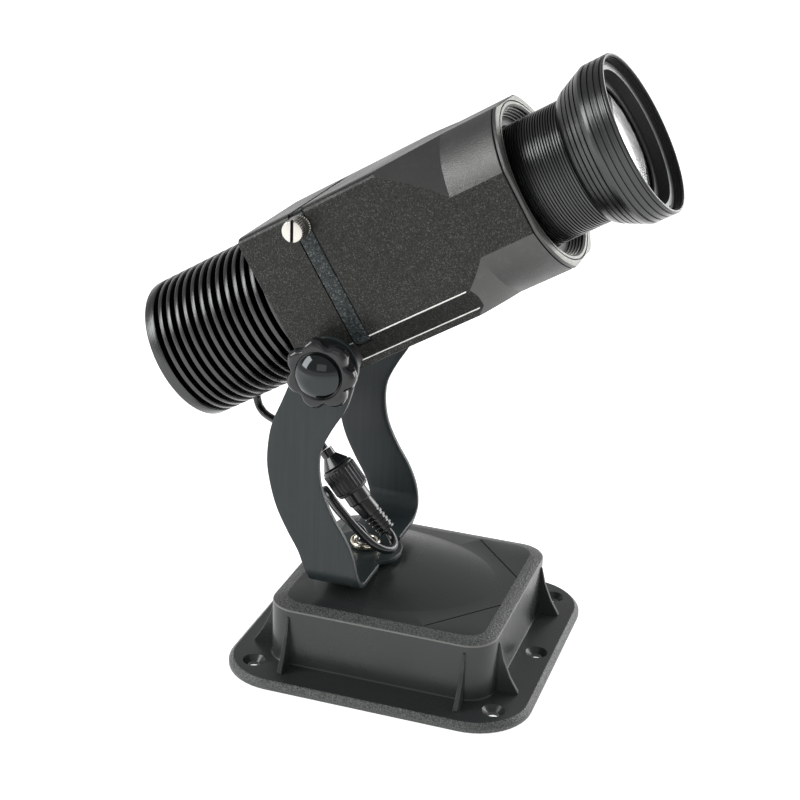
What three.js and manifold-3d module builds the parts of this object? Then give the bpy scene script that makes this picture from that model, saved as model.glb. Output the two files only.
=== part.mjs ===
// A small gobo projector: a square lamp head with a finned heat sink and a focusing lens barrel,
// held in a bent steel yoke that swivels on a square base box.
// Lengths are in millimetres, +Z is up, and the origin is the middle of the base's underside.
// The lens points towards +X. The near side, with the gobo cover and its screw, is at -Y.
import * as THREE from "three";
import { mergeVertices } from "three/addons/utils/BufferGeometryUtils.js";
import Module from "manifold-3d";

const wasm = await Module();
wasm.setup();

// Clearances
const seatGap = 0.3; // between two pieces that rest on each other
const runGap = 0.35; // between a shaft or slide and what guides it
const overrun = 1.2; // how far a cutting solid reaches past the face it cuts
const weld = 0.0001; // points nearer than this are one point

// Counts of flat sides on round work
const largeSides = 30;
const mediumSides = 16;
const smallSides = 10;
const cornerSteps = 4;
const nutSides = 6;

// Places that every group follows
const panX = -23.4; // the swivel axis, behind the middle of the base
const pivotX = -26.7; // the tilt axis
const pivotHeight = 145.6;
const pivotAlong = 5.3; // the tilt axis in the head, ahead of the head's zero
const tiltAngle = THREE.MathUtils.degToRad(31.5);

const base = {
  wallHalf: 52,
  wallCorner: 13,
  wallHeight: 30.7,
  shoulderWide: 6,
  shoulderRise: 1.7,
  topCorner: 9,
  flangeWide: 18,
  flangeCorner: 26,
  flangeThick: 4,
  flangeBevel: 2,
  wall: 2.5,
};
const topHalf = base.wallHalf - base.shoulderWide;
const topHeight = base.wallHeight + base.shoulderRise;
const flangeHalf = base.wallHalf + base.flangeWide;

const dome = {
  frontInset: 6,
  sideInset: 3.7,
  rearInset: 3,
  rise: 6,
  wall: 2.5,
  rings: 4,
};

const bearing = {
  bossRadius: 11,
  bossLong: 9.6,
  seatAbove: 5.2,
  seatRadius: 18,
  washerRadius: 12,
  washerThick: 1.1,
  studRadius: 4.6,
  studBore: 2.8,
  nutRadius: 7,
  nutThick: 3.2,
  nutRound: 1.4,
  lockRadius: 8,
  lockThick: 4,
};

const seatHeight = topHeight + bearing.seatAbove;
const bossLow = seatHeight - bearing.bossLong;

const strip = {
  thick: 2.5,
  width: 24,
  bend: 10,
  sweep: 19,
  endRadius: 12.6,
  discRadius: 17.25,
  notchHalf: 1.5,
  notchDeep: 2,
};
const stripLow = seatHeight + seatGap + bearing.washerThick + seatGap;
const stripTop = stripLow + strip.thick;

const tube = {
  half: 36.2,
  rear: -10.4,
  front: 108.2,
  wall: 4.7,
  rearWall: 4,
  topRound: 4,
  chamferUp: 12.6,
  chamferIn: 7.7,
  chamferLow: 3.3,
  footIn: 8.7,
  noseLong: 24.4,
  noseCut: 2.4,
  coneLong: 23.3,
  coneCut: 12.5,
  mouthWall: 3,
  mouthDeep: 8.2,
  pivotAbove: 9.3,
};
const pivotBelow = tube.half - tube.pivotAbove; // the tilt axis under the lens axis
const tubeBore = tube.half - tube.wall;
const mouthBore = tube.half - tube.mouthWall;
const coneTo = tube.front - tube.noseLong;
const coneFrom = coneTo - tube.coneLong;

const stud = { radius: 2.5, hole: 3.2 };
const boss = { radius: 9.2, deep: 7.7, stand: 2.8, washerThick: 2.8, insertRadius: 4, insertWall: 1.2 };
const bossInner = tube.half - boss.deep;
const bossOuter = tube.half + boss.stand;
const stripInner = bossOuter + seatGap + boss.washerThick + seatGap;

const leadRadius = 1.9;

// A closed mesh as a solid that can be joined and cut.
function solidOf(geometry) {
  const bare = geometry.clone();
  bare.deleteAttribute("normal");
  bare.deleteAttribute("uv");
  const merged = mergeVertices(bare, weld);
  const mesh = new wasm.Mesh({
    numProp: 3,
    vertProperties: merged.attributes.position.array,
    triVerts: new Uint32Array(merged.index.array),
  });
  return new wasm.Manifold(mesh);
}

// The surface of a solid, for a mesh.
function surfaceOf(body) {
  const mesh = body.getMesh();
  const geometry = new THREE.BufferGeometry();
  geometry.setAttribute("position", new THREE.BufferAttribute(mesh.vertProperties, mesh.numProp));
  geometry.setIndex(new THREE.BufferAttribute(mesh.triVerts, 1));
  geometry.computeVertexNormals();
  return geometry;
}

// The first geometry after each of the others has been added, subtracted or intersected.
function combined(action, first, others) {
  let body = solidOf(first);
  for (const other of others) {
    body = body[action](solidOf(other));
  }
  return surfaceOf(body);
}
const joined = (first, ...others) => combined("add", first, others);
const cut = (first, ...others) => combined("subtract", first, others);
const common = (first, ...others) => combined("intersect", first, others);

// A closed profile of [radius, height] points, the metal on its left, turned about +Z.
function turned(profile, sides) {
  const points = profile.map(([radius, height]) => new THREE.Vector2(radius, height));
  if (profile[0][0] > 0) {
    points.push(points[0].clone());
  }
  return new THREE.LatheGeometry(points, sides).rotateX(Math.PI / 2);
}

function rod(radius, low, high, sides) {
  return turned([[0, low], [radius, low], [radius, high], [0, high]], sides);
}

function pipe(inner, outer, low, high, sides) {
  return turned([[inner, low], [outer, low], [outer, high], [inner, high]], sides);
}

// A nut with flats outside and a round hole.
function hexNut(bore, radius, low, high) {
  const hole = rod(bore, low - overrun, high + overrun, mediumSides);
  return cut(rod(radius, low, high, nutSides), hole);
}

// A box between two corners.
function block([x0, y0, z0], [x1, y1, z1]) {
  const box = new THREE.BoxGeometry(x1 - x0, y1 - y0, z1 - z0);
  return box.translate((x0 + x1) / 2, (y0 + y1) / 2, (z0 + z1) / 2);
}

// A flat outline given a thickness between two heights.
function slab(shape, low, high, curveSegments = cornerSteps) {
  const options = { depth: high - low, bevelEnabled: false, curveSegments };
  return new THREE.ExtrudeGeometry(shape, options).translate(0, 0, low);
}

// Turns work made along +Z so that it lies along +X, its own X and Y becoming Y and Z.
const lengthwise = new THREE.Matrix4().makeBasis(
  new THREE.Vector3(0, 1, 0),
  new THREE.Vector3(0, 0, 1),
  new THREE.Vector3(1, 0, 0),
);
const alongX = (geometry) => geometry.applyMatrix4(lengthwise);

// Work made along +Z, laid along +Y or -Y with its own Z pointing that way.
const towardsY = (geometry, side) => geometry.rotateX((-side * Math.PI) / 2);

// A square with round corners as a ring of points, the same count for every size.
function roundSquare(half, corner) {
  const points = [];
  for (let quarter = 0; quarter < 4; quarter += 1) {
    const start = (quarter * Math.PI) / 2;
    const middle = new THREE.Vector2(half - corner, half - corner).rotateAround(new THREE.Vector2(), start);
    for (let step = 0; step <= cornerSteps; step += 1) {
      const angle = start + (step / cornerSteps) * (Math.PI / 2);
      points.push(new THREE.Vector2(Math.cos(angle), Math.sin(angle)).multiplyScalar(corner).add(middle));
    }
  }
  return points;
}

// A solid through rings of points at rising heights, closed flat at both ends.
function stacked(levels) {
  const count = levels[0].ring.length;
  const position = levels.flatMap(({ ring, height }) => ring.flatMap((point) => [point.x, point.y, height]));
  const index = [];
  for (let level = 0; level + 1 < levels.length; level += 1) {
    for (let k = 0; k < count; k += 1) {
      const a = level * count + k;
      const b = level * count + ((k + 1) % count);
      index.push(a, b, b + count, a, b + count, a + count);
    }
  }
  const top = (levels.length - 1) * count;
  for (const [a, b, c] of THREE.ShapeUtils.triangulateShape(levels[0].ring, [])) {
    index.push(a, c, b);
    index.push(top + a, top + b, top + c);
  }
  const geometry = new THREE.BufferGeometry();
  geometry.setAttribute("position", new THREE.Float32BufferAttribute(position, 3));
  geometry.setIndex(index);
  return geometry;
}

// Half an egg: a shallow rise with a parabola for its section, longer ahead than behind.
function eggDome(front, side, rear, rise, foot) {
  const profile = [[0, -1], [1, -1]];
  for (let ring = dome.rings; ring >= 0; ring -= 1) {
    const share = ring / dome.rings;
    profile.push([share, 1 - share * share]);
  }
  const geometry = turned(profile, largeSides);
  const place = geometry.getAttribute("position");
  for (let k = 0; k < place.count; k += 1) {
    const reach = place.getX(k) > 0 ? front : rear;
    const lift = place.getZ(k) > 0 ? rise : foot;
    place.setXYZ(k, place.getX(k) * reach, place.getY(k) * side, place.getZ(k) * lift);
  }
  return geometry;
}

function metal(color, roughness, metalness = 1) {
  return new THREE.MeshStandardMaterial({ color, roughness, metalness });
}

function plastic(color, roughness) {
  return new THREE.MeshStandardMaterial({ color, roughness, metalness: 0 });
}

const finish = {
  mouldedBlack: plastic(0x232526, 0.42),
  bluePaint: plastic(0x353c40, 0.55),
  sparklePaint: plastic(0x2e2e2b, 0.6),
  blackAnodised: metal(0x151617, 0.38, 0.7),
  brightSteel: metal(0xc4c4c0, 0.25),
  brass: metal(0xb59a5c, 0.3),
  rubber: plastic(0x17181a, 0.7),
  glossBlack: plastic(0x0f1011, 0.18),
  glass: plastic(0xdfe9ec, 0.05),
  board: plastic(0x21402c, 0.5),
  ferrite: plastic(0x6f5a3a, 0.6),
  lampYellow: plastic(0xe2d38a, 0.3),
  nylon: plastic(0xcfccc2, 0.6),
};

function piece(group, name, geometry, material) {
  const mesh = new THREE.Mesh(geometry, material);
  mesh.name = name;
  group.add(mesh);
  return mesh;
}

// The base box with its flange, moulded in one piece and open underneath.
const gusset = { inset: 11.5, sideInset: 14.5, thick: 2.3, drop: 3.2, reach: 10 };
const fixing = { inset: 14.5, sideInset: 15.5, edgeInset: 9.2, radius: 2.6, sinkRadius: 5, sinkDeep: 2.4 };
const groove = { width: 1, deep: 0.6, startInset: 26, sideInset: 1.5, endInset: 32 };
const plateFix = { inset: 11, bossRadius: 4.6, screwRadius: 1.5, headRadius: 2.9, headThick: 1.4 };
const inlet = {
  x: 22,
  height: 16,
  threadRadius: 5.7,
  flangeRadius: 8,
  bore: 3.4,
  noseLong: 7,
  nutThick: 3.4,
};
const floorPlate = { thick: 3, sinkDeep: 2, standRadius: 2.5, standHeight: 5 };

function gussetRib() {
  const foot = base.flangeThick - base.flangeBevel / 2;
  const reach = base.wallHalf + gusset.reach;
  const height = base.wallHeight - gusset.drop;
  const shape = new THREE.Shape();
  shape.moveTo(base.wallHalf - base.wall / 2, foot);
  shape.lineTo(reach, foot);
  shape.lineTo(reach, base.flangeThick + base.flangeBevel / 2);
  shape.lineTo(base.wallHalf, height);
  shape.lineTo(base.wallHalf - base.wall / 2, height);
  shape.closePath();
  const rib = slab(shape, -gusset.thick / 2, gusset.thick / 2);
  return rib.rotateX(Math.PI / 2);
}

function gussetRibs() {
  const ribs = [];
  for (let wallTurn = 0; wallTurn < 4; wallTurn += 1) {
    const along = base.wallHalf - (wallTurn % 2 ? gusset.inset : gusset.sideInset);
    for (const side of [-1, 1]) {
      ribs.push(gussetRib().translate(0, side * along, 0).rotateZ((wallTurn * Math.PI) / 2));
    }
  }
  return ribs;
}

function countersunk(x, y) {
  const sinkLow = base.flangeThick - fixing.sinkDeep;
  const profile = [
    [0, -overrun],
    [fixing.radius, -overrun],
    [fixing.radius, sinkLow],
    [fixing.sinkRadius, base.flangeThick],
    [fixing.sinkRadius, base.flangeThick + overrun],
    [0, base.flangeThick + overrun],
  ];
  return turned(profile, smallSides).translate(x, y, 0);
}

function topGroove(side) {
  const start = new THREE.Vector2(topHalf - groove.startInset, topHalf - groove.sideInset);
  const end = new THREE.Vector2(topHalf, topHalf - groove.endInset);
  const run = end.clone().sub(start);
  const line = new THREE.BoxGeometry(run.length(), groove.width, groove.deep + overrun);
  line.translate(0, 0, topHeight + (overrun - groove.deep) / 2).rotateZ(run.angle());
  line.translate((start.x + end.x) / 2, (start.y + end.y) / 2, 0);
  return side > 0 ? line : line.rotateX(Math.PI).translate(0, 0, topHeight * 2);
}

function platePlaces() {
  const place = base.wallHalf - plateFix.inset;
  return [[place, place], [-place, place], [-place, -place], [place, -place]];
}

function baseHousing() {
  const flangeTop = flangeHalf - base.flangeBevel;
  const outside = stacked([
    { ring: roundSquare(flangeHalf, base.flangeCorner), height: 0 },
    { ring: roundSquare(flangeHalf, base.flangeCorner), height: base.flangeThick - base.flangeBevel },
    { ring: roundSquare(flangeTop, base.flangeCorner - base.flangeBevel), height: base.flangeThick },
    { ring: roundSquare(base.wallHalf, base.wallCorner), height: base.flangeThick },
    { ring: roundSquare(base.wallHalf, base.wallCorner), height: base.wallHeight },
    { ring: roundSquare(topHalf, base.topCorner), height: topHeight },
  ]);
  const innerHalf = base.wallHalf - base.wall;
  const innerCorner = base.wallCorner - base.wall;
  const ceiling = topHeight - base.wall;
  const inside = stacked([
    { ring: roundSquare(innerHalf, innerCorner), height: -overrun },
    { ring: roundSquare(innerHalf, innerCorner), height: base.wallHeight - base.wall },
    { ring: roundSquare(topHalf, innerCorner), height: ceiling },
  ]);
  const domeFront = topHalf - panX - dome.frontInset;
  const domeSide = topHalf - dome.sideInset;
  const domeRear = topHalf + panX - dome.rearInset;
  const rise = eggDome(domeFront, domeSide, domeRear, dome.rise, base.wall / 2);
  rise.translate(panX, 0, topHeight);
  const hollow = eggDome(
    domeFront - dome.wall * 2,
    domeSide - dome.wall * 2,
    domeRear - dome.wall * 2,
    dome.rise,
    base.wall / 2,
  );
  hollow.translate(panX, 0, ceiling);
  const shell = joined(cut(joined(outside, rise), inside, hollow), ...gussetRibs());

  const pilotRadius = plateFix.screwRadius + runGap;
  const postLow = floorPlate.thick + seatGap;
  const posts = platePlaces().map(([x, y]) =>
    rod(plateFix.bossRadius, postLow, ceiling + base.wall / 2, smallSides).translate(x, y, 0),
  );
  const pilots = platePlaces().map(([x, y]) =>
    rod(pilotRadius, floorPlate.thick, ceiling / 2, smallSides).translate(x, y, 0),
  );
  const swivelBoss = rod(bearing.bossRadius, bossLow, seatHeight, mediumSides);
  const swivelHole = rod(bearing.studRadius + runGap, 0, topHeight + dome.rise * 2, mediumSides);
  const seat = rod(bearing.seatRadius, seatHeight, topHeight + dome.rise * 2, mediumSides);
  const inletRadius = inlet.threadRadius + runGap;
  const inletRod = rod(inletRadius, innerHalf - overrun, base.wallHalf + overrun, smallSides);
  const inletHole = towardsY(inletRod, 1);
  const corner = flangeHalf - fixing.inset;
  const cornerSide = flangeHalf - fixing.sideInset;
  const places = [];
  for (const side of [-1, 1]) {
    places.push([side * corner, cornerSide], [side * corner, -cornerSide]);
    places.push([side * (flangeHalf - fixing.edgeInset), 0]);
  }
  return cut(
    joined(shell, ...posts, swivelBoss.translate(panX, 0, 0)),
    ...pilots,
    swivelHole.translate(panX, 0, 0),
    seat.translate(panX, 0, 0),
    inletHole.translate(inlet.x, 0, inlet.height),
    ...places.map(([x, y]) => countersunk(x, y)),
    topGroove(1),
    topGroove(-1),
  );
}

// The floor plate closes the box and carries the driver board on four stand-offs.
const driver = {
  halfX: 36,
  halfY: 26,
  thick: 1.6,
  standX: 30,
  standY: 21,
  coilX: 18,
  coilHalf: 11.5,
  coilHeight: 15,
  canX: -2,
  canY: 15,
  canRadius: 5,
  canHeight: 13,
  headerHalf: 5,
  headerHeight: 8.6,
};
const boardLow = floorPlate.thick + floorPlate.standHeight + seatGap;
const boardTop = boardLow + driver.thick;
const onBoard = boardTop + seatGap;

function basePlate() {
  const half = base.wallHalf - base.wall - runGap;
  const corner = base.wallCorner - base.wall;
  const sheet = stacked([
    { ring: roundSquare(half, corner), height: 0 },
    { ring: roundSquare(half, corner), height: floorPlate.thick },
  ]);
  const standTop = floorPlate.thick + floorPlate.standHeight;
  const stands = [];
  for (const x of [-driver.standX, driver.standX]) {
    for (const y of [-driver.standY, driver.standY]) {
      const stand = rod(floorPlate.standRadius, floorPlate.thick / 2, standTop, smallSides);
      stands.push(stand.translate(x, y, 0));
    }
  }
  const holes = platePlaces().flatMap(([x, y]) => [
    rod(plateFix.headRadius + runGap, -overrun, floorPlate.sinkDeep, smallSides).translate(x, y, 0),
    rod(plateFix.screwRadius + runGap, -overrun, floorPlate.thick + overrun, smallSides).translate(x, y, 0),
  ]);
  return cut(joined(sheet, ...stands), ...holes);
}

function plateScrew() {
  const headLow = floorPlate.sinkDeep - seatGap - plateFix.headThick;
  const headTop = headLow + plateFix.headThick;
  const length = floorPlate.thick * 3;
  const profile = [
    [0, headLow],
    [plateFix.headRadius, headLow],
    [plateFix.headRadius, headTop],
    [plateFix.screwRadius, headTop],
    [plateFix.screwRadius, headTop + length],
    [0, headTop + length],
  ];
  return turned(profile, smallSides);
}

function addBase(group) {
  piece(group, "base_housing", baseHousing(), finish.mouldedBlack);
  piece(group, "base_plate", basePlate(), finish.bluePaint);
  platePlaces().forEach(([x, y], k) => {
    piece(group, `base_screw_${k + 1}`, plateScrew(), finish.brightSteel).position.set(x, y, 0);
  });

  const board = block(
    [-driver.halfX, -driver.halfY, boardLow],
    [driver.halfX, driver.halfY, boardTop],
  );
  piece(group, "driver_board", board, finish.board);
  const coil = block(
    [driver.coilX - driver.coilHalf, -driver.coilHalf, onBoard],
    [driver.coilX + driver.coilHalf, driver.coilHalf, onBoard + driver.coilHeight],
  );
  piece(group, "driver_transformer", coil, finish.ferrite);
  [-1, 1].forEach((side, k) => {
    const can = rod(driver.canRadius, onBoard, onBoard + driver.canHeight, smallSides);
    piece(group, `driver_capacitor_${k + 1}`, can, finish.blackAnodised)
      .position.set(driver.canX, side * driver.canY, 0);
  });
  const header = block(
    [-driver.headerHalf, -driver.headerHalf, onBoard],
    [driver.headerHalf, driver.headerHalf, onBoard + driver.headerHeight],
  );
  piece(group, "lead_header", header, finish.nylon).position.x = panX;

  const wallInside = base.wallHalf - base.wall;
  const gland = turned(
    [
      [inlet.bore, wallInside - inlet.nutThick - seatGap],
      [inlet.threadRadius, wallInside - inlet.nutThick - seatGap],
      [inlet.threadRadius, base.wallHalf + seatGap],
      [inlet.flangeRadius, base.wallHalf + seatGap],
      [inlet.flangeRadius, base.wallHalf + inlet.noseLong / 2],
      [inlet.threadRadius, base.wallHalf + inlet.noseLong],
      [inlet.bore, base.wallHalf + inlet.noseLong],
    ],
    smallSides,
  );
  piece(group, "mains_gland", towardsY(gland, 1), finish.rubber).position.set(inlet.x, 0, inlet.height);
  const nutTop = wallInside - seatGap;
  const nut = hexNut(inlet.threadRadius + seatGap, inlet.flangeRadius, nutTop - inlet.nutThick, nutTop);
  piece(group, "mains_gland_nut", towardsY(nut, 1), finish.rubber).position.set(inlet.x, 0, inlet.height);
}

// The swivel: a hollow stud through the dome, a washer under the yoke and a round nut over it.
function addSwivel(group) {
  const washerLow = seatHeight + seatGap;
  const bore = bearing.studRadius + seatGap;
  const washer = pipe(bore, bearing.washerRadius, washerLow, washerLow + bearing.washerThick, mediumSides);
  piece(group, "pan_washer", washer, finish.nylon).position.x = panX;

  const lockTop = bossLow - seatGap;
  const lockLow = lockTop - bearing.lockThick;
  const studTop = stripTop + bearing.nutThick;
  const hollow = pipe(bearing.studBore, bearing.studRadius, lockLow, studTop, mediumSides);
  piece(group, "pan_stud", hollow, finish.brightSteel).position.x = panX;
  const lock = hexNut(bore, bearing.lockRadius, lockLow, lockTop);
  piece(group, "pan_lock_nut", lock, finish.brightSteel).position.x = panX;

  const low = stripTop + seatGap;
  const high = low + bearing.nutThick;
  const ring = [
    [bore, low],
    [bearing.nutRadius, low],
    [bearing.nutRadius, high - bearing.nutRound],
    [bearing.nutRadius - bearing.nutRound / 3, high - bearing.nutRound / 3],
    [bearing.nutRadius - bearing.nutRound, high],
    [bore + bearing.nutRound / 3, high],
    [bore, high - bearing.nutRound / 3],
  ];
  piece(group, "pan_ring_nut", turned(ring, mediumSides), finish.brass).position.x = panX;
}

// The yoke's arms as seen from the side: shares of the pivot's height, the sweep and the width.
const armShares = [
  { height: 0.06, sweep: 0, width: 1 },
  { height: 0.16, sweep: 0.15, width: 1.07 },
  { height: 0.25, sweep: 0.4, width: 1.13 },
  { height: 0.345, sweep: 0.695, width: 1.08 },
  { height: 0.44, sweep: 0.9, width: 1.01 },
  { height: 0.535, sweep: 0.995, width: 1 },
  { height: 0.63, sweep: 0.97, width: 1.01 },
  { height: 0.72, sweep: 0.81, width: 1.11 },
  { height: 0.83, sweep: 0.51, width: 1.19 },
];
const armSteps = 3;
const armEnd = { from: THREE.MathUtils.degToRad(-24), to: THREE.MathUtils.degToRad(156) };

function armOutline() {
  const low = stripLow - overrun;
  const edge = (side) => armShares.map((row) => {
    const middle = panX - row.sweep * strip.sweep;
    const height = stripLow + row.height * (pivotHeight - stripLow);
    return new THREE.Vector2(middle + (side * row.width * strip.width) / 2, height);
  });
  const end = (angle) => new THREE.Vector2(
    pivotX + strip.endRadius * Math.cos(angle),
    pivotHeight + strip.endRadius * Math.sin(angle),
  );
  const shape = new THREE.Shape();
  shape.moveTo(panX + strip.width / 2, low);
  shape.lineTo(edge(1)[0].x, edge(1)[0].y);
  shape.splineThru([...edge(1).slice(1), end(armEnd.from)]);
  const armTop = (armEnd.from + armEnd.to) / 2;
  shape.absarc(pivotX, pivotHeight, strip.endRadius, armEnd.from, armTop, false);
  shape.absarc(pivotX, pivotHeight, strip.endRadius, armTop, armEnd.to, false);
  shape.splineThru(edge(-1).reverse());
  shape.lineTo(panX - strip.width / 2, low);
  shape.closePath();
  return shape;
}

// The bent strip as seen from the front, a wide U.
function stripSection() {
  const outer = stripInner + strip.thick;
  const bendOut = strip.bend + strip.thick;
  const high = pivotHeight + strip.endRadius + overrun;
  const bendMiddle = stripInner - strip.bend;
  const bendHeight = stripTop + strip.bend;
  const shape = new THREE.Shape();
  shape.moveTo(-outer, high);
  shape.lineTo(-outer, bendHeight);
  shape.absarc(-bendMiddle, bendHeight, bendOut, Math.PI, Math.PI * 1.5, false);
  shape.absarc(bendMiddle, bendHeight, bendOut, -Math.PI / 2, 0, false);
  shape.lineTo(outer, high);
  shape.lineTo(stripInner, high);
  shape.absarc(bendMiddle, bendHeight, strip.bend, 0, -Math.PI / 2, true);
  shape.absarc(-bendMiddle, bendHeight, strip.bend, Math.PI * 1.5, Math.PI, true);
  shape.lineTo(-stripInner, high);
  shape.closePath();
  return shape;
}

function yokeNotch(sideX, sideY) {
  const across = Math.sqrt(strip.discRadius ** 2 - (strip.width / 2) ** 2);
  const shape = new THREE.Shape();
  shape.moveTo(strip.width / 2 + overrun, -strip.notchHalf * 2);
  shape.lineTo(strip.width / 2 + overrun, strip.notchHalf * 2);
  shape.lineTo(strip.width / 2 - strip.notchDeep, 0);
  shape.closePath();
  const wedge = slab(shape, stripLow - overrun, stripTop + overrun);
  wedge.translate(0, across + strip.notchHalf / 2, 0);
  if (sideX < 0) {
    wedge.rotateZ(Math.PI).translate(0, 2 * (across + strip.notchHalf / 2), 0);
  }
  if (sideY < 0) {
    wedge.translate(0, -2 * (across + strip.notchHalf / 2), 0);
  }
  return wedge.translate(panX, 0, 0);
}

function yokeShape() {
  const reach = strip.sweep + strip.width;
  const section = alongX(slab(stripSection(), panX - reach, panX + reach));
  const half = stripInner + strip.thick + overrun;
  const side = slab(armOutline(), -half, half, armSteps).rotateX(Math.PI / 2);
  const disc = rod(strip.discRadius, stripLow, stripTop, largeSides).translate(panX, 0, 0);
  const hole = rod(bearing.studRadius + runGap, stripLow - overrun, stripTop + overrun, mediumSides);
  const pivot = towardsY(rod(stud.hole, -half, half, smallSides), 1).translate(pivotX, 0, pivotHeight);
  const notches = [[1, 1], [1, -1], [-1, 1], [-1, -1]].map(([x, y]) => yokeNotch(x, y));
  return cut(joined(common(section, side), disc), hole.translate(panX, 0, 0), pivot, ...notches);
}

function addYoke(group) {
  piece(group, "yoke", yokeShape(), finish.bluePaint);
  for (const [name, side] of [["near", -1], ["far", 1]]) {
    const low = bossOuter + seatGap;
    const washer = pipe(stud.hole, boss.radius, low, stripInner - seatGap, mediumSides);
    piece(group, `tilt_washer_${name}`, towardsY(washer, side), finish.rubber)
      .position.set(pivotX, 0, pivotHeight);
  }
}

// The round connector between the head's lead and the base's lead, along its own +Z.
const plug = {
  middle: new THREE.Vector3(-34.2, 0, 74),
  lean: THREE.MathUtils.degToRad(141.2),
  nutHalf: 7,
  nutRadius: 8,
  nutChamfer: 0.9,
  coreRadius: 6.1,
  shellRadius: 5.7,
  shellEnd: 13,
  bootBend: THREE.MathUtils.degToRad(-7.8),
  bootLong: 18.5,
  bootRadius: 5.3,
  bootEnd: 4.2,
  ribs: 5,
  ribDeep: 0.6,
  coneTop: -12,
  coneFoot: -7.6,
  coneRadius: 6.6,
  reliefRadius: 3.2,
  reliefTop: -16,
};

// A tapered boot of rings and grooves.
function ribbedBoot() {
  const profile = [[0, 0], [plug.bootRadius, 0]];
  const pitch = plug.bootLong / (plug.ribs * 2 + 1);
  const radiusAt = (height) =>
    THREE.MathUtils.lerp(plug.bootRadius, plug.bootEnd, height / plug.bootLong);
  for (let rib = 0; rib < plug.ribs; rib += 1) {
    const low = (rib * 2 + 1) * pitch;
    const high = low + pitch;
    profile.push([radiusAt(low), low], [radiusAt(low) - plug.ribDeep, low]);
    profile.push([radiusAt(high) - plug.ribDeep, high], [radiusAt(high), high]);
  }
  profile.push([plug.bootEnd, plug.bootLong], [0, plug.bootLong]);
  return turned(profile, smallSides);
}

function addConnector(group, nutGroup) {
  const sockets = turned(
    [
      [0, plug.reliefTop],
      [plug.reliefRadius, plug.reliefTop],
      [plug.reliefRadius, plug.coneTop],
      [plug.coneRadius, plug.coneFoot],
      [plug.coreRadius, plug.coneFoot],
      [plug.coreRadius, -seatGap],
      [0, -seatGap],
    ],
    mediumSides,
  );
  const shell = turned(
    [
      [0, 0],
      [plug.coreRadius, 0],
      [plug.coreRadius, plug.nutHalf],
      [plug.shellRadius, plug.nutHalf],
      [plug.shellRadius, plug.shellEnd],
      [0, plug.shellEnd],
    ],
    mediumSides,
  );
  const boot = ribbedBoot().rotateY(plug.bootBend).translate(0, 0, plug.shellEnd - plug.ribDeep);
  const nut = turned(
    [
      [plug.coreRadius + runGap, -plug.nutHalf],
      [plug.nutRadius - plug.nutChamfer, -plug.nutHalf],
      [plug.nutRadius, -plug.nutHalf + plug.nutChamfer],
      [plug.nutRadius, plug.nutHalf - plug.nutChamfer],
      [plug.nutRadius - plug.nutChamfer, plug.nutHalf],
      [plug.coreRadius + runGap, plug.nutHalf],
    ],
    mediumSides,
  );
  for (const holder of [group, nutGroup]) {
    holder.position.copy(plug.middle);
    holder.rotation.y = plug.lean;
  }
  piece(group, "socket_body", sockets, finish.glossBlack);
  piece(group, "plug_body", joined(shell, boot), finish.glossBlack);
  piece(nutGroup, "coupling_nut", nut, finish.rubber);
}

// The base's lead: out of the plug's boot, round under it, up beside it, back over and down the stud.
const baseLeadRoute = [
  [-12.7, 0, 51.4], [-11, -0.5, 49.9], [-8.9, -2.6, 48.1], [-7.6, -6, 47.2], [-7.9, -9.9, 47.3],
  [-10, -13.4, 48.6], [-13.6, -15.8, 51.3], [-18.2, -17.2, 55.4], [-22.8, -17.9, 60],
  [-27.4, -18.2, 64.8], [-31.6, -18, 69], [-35.2, -16.6, 71.9], [-38.3, -13.6, 72.7],
  [-40.1, -9.8, 71.2], [-40.6, -6.2, 68], [-39.8, -3.8, 64], [-37.6, -2.7, 60],
  [-34.4, -2.2, 56.4], [-30.8, -1.6, 53.6], [-27.2, -0.9, 51.4], [-24.7, -0.3, 48.9],
  [-23.5, 0, 45.9], [-23.4, 0, 42], [-23.4, 0, 36], [-23.4, 0, 28], [-23.4, 0, 19.1],
];
// The head's lead: out of the gland under the heat sink, sagging forward to the socket's relief.
const headLeadRoute = [
  [-85.8, 14.2, 105.2], [-84.7, 15.4, 102.6], [-84.6, 16, 99.2], [-83.4, 15.6, 96], [-80.8, 14.1, 93.8],
  [-77.2, 11.9, 92.9], [-73.3, 9.4, 92.8], [-68.5, 6.9, 92.3], [-63.4, 4.7, 91.5], [-58.6, 2.6, 90.8],
  [-54.2, 1, 90.1], [-50.2, 0.2, 89.6], [-47.2, 0, 88.8], [-45.5, 0, 87.8], [-44.4, 0, 86.7],
];

function cordAlong(route) {
  const curve = new THREE.CatmullRomCurve3(route.map((point) => new THREE.Vector3(...point)));
  const section = new THREE.Shape();
  section.absarc(0, 0, leadRadius, 0, Math.PI * 2, false);
  const steps = Math.round(curve.getLength() / (leadRadius * 4));
  const options = { steps, curveSegments: cornerSteps, bevelEnabled: false, extrudePath: curve };
  return new THREE.ExtrudeGeometry(section, options);
}

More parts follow.
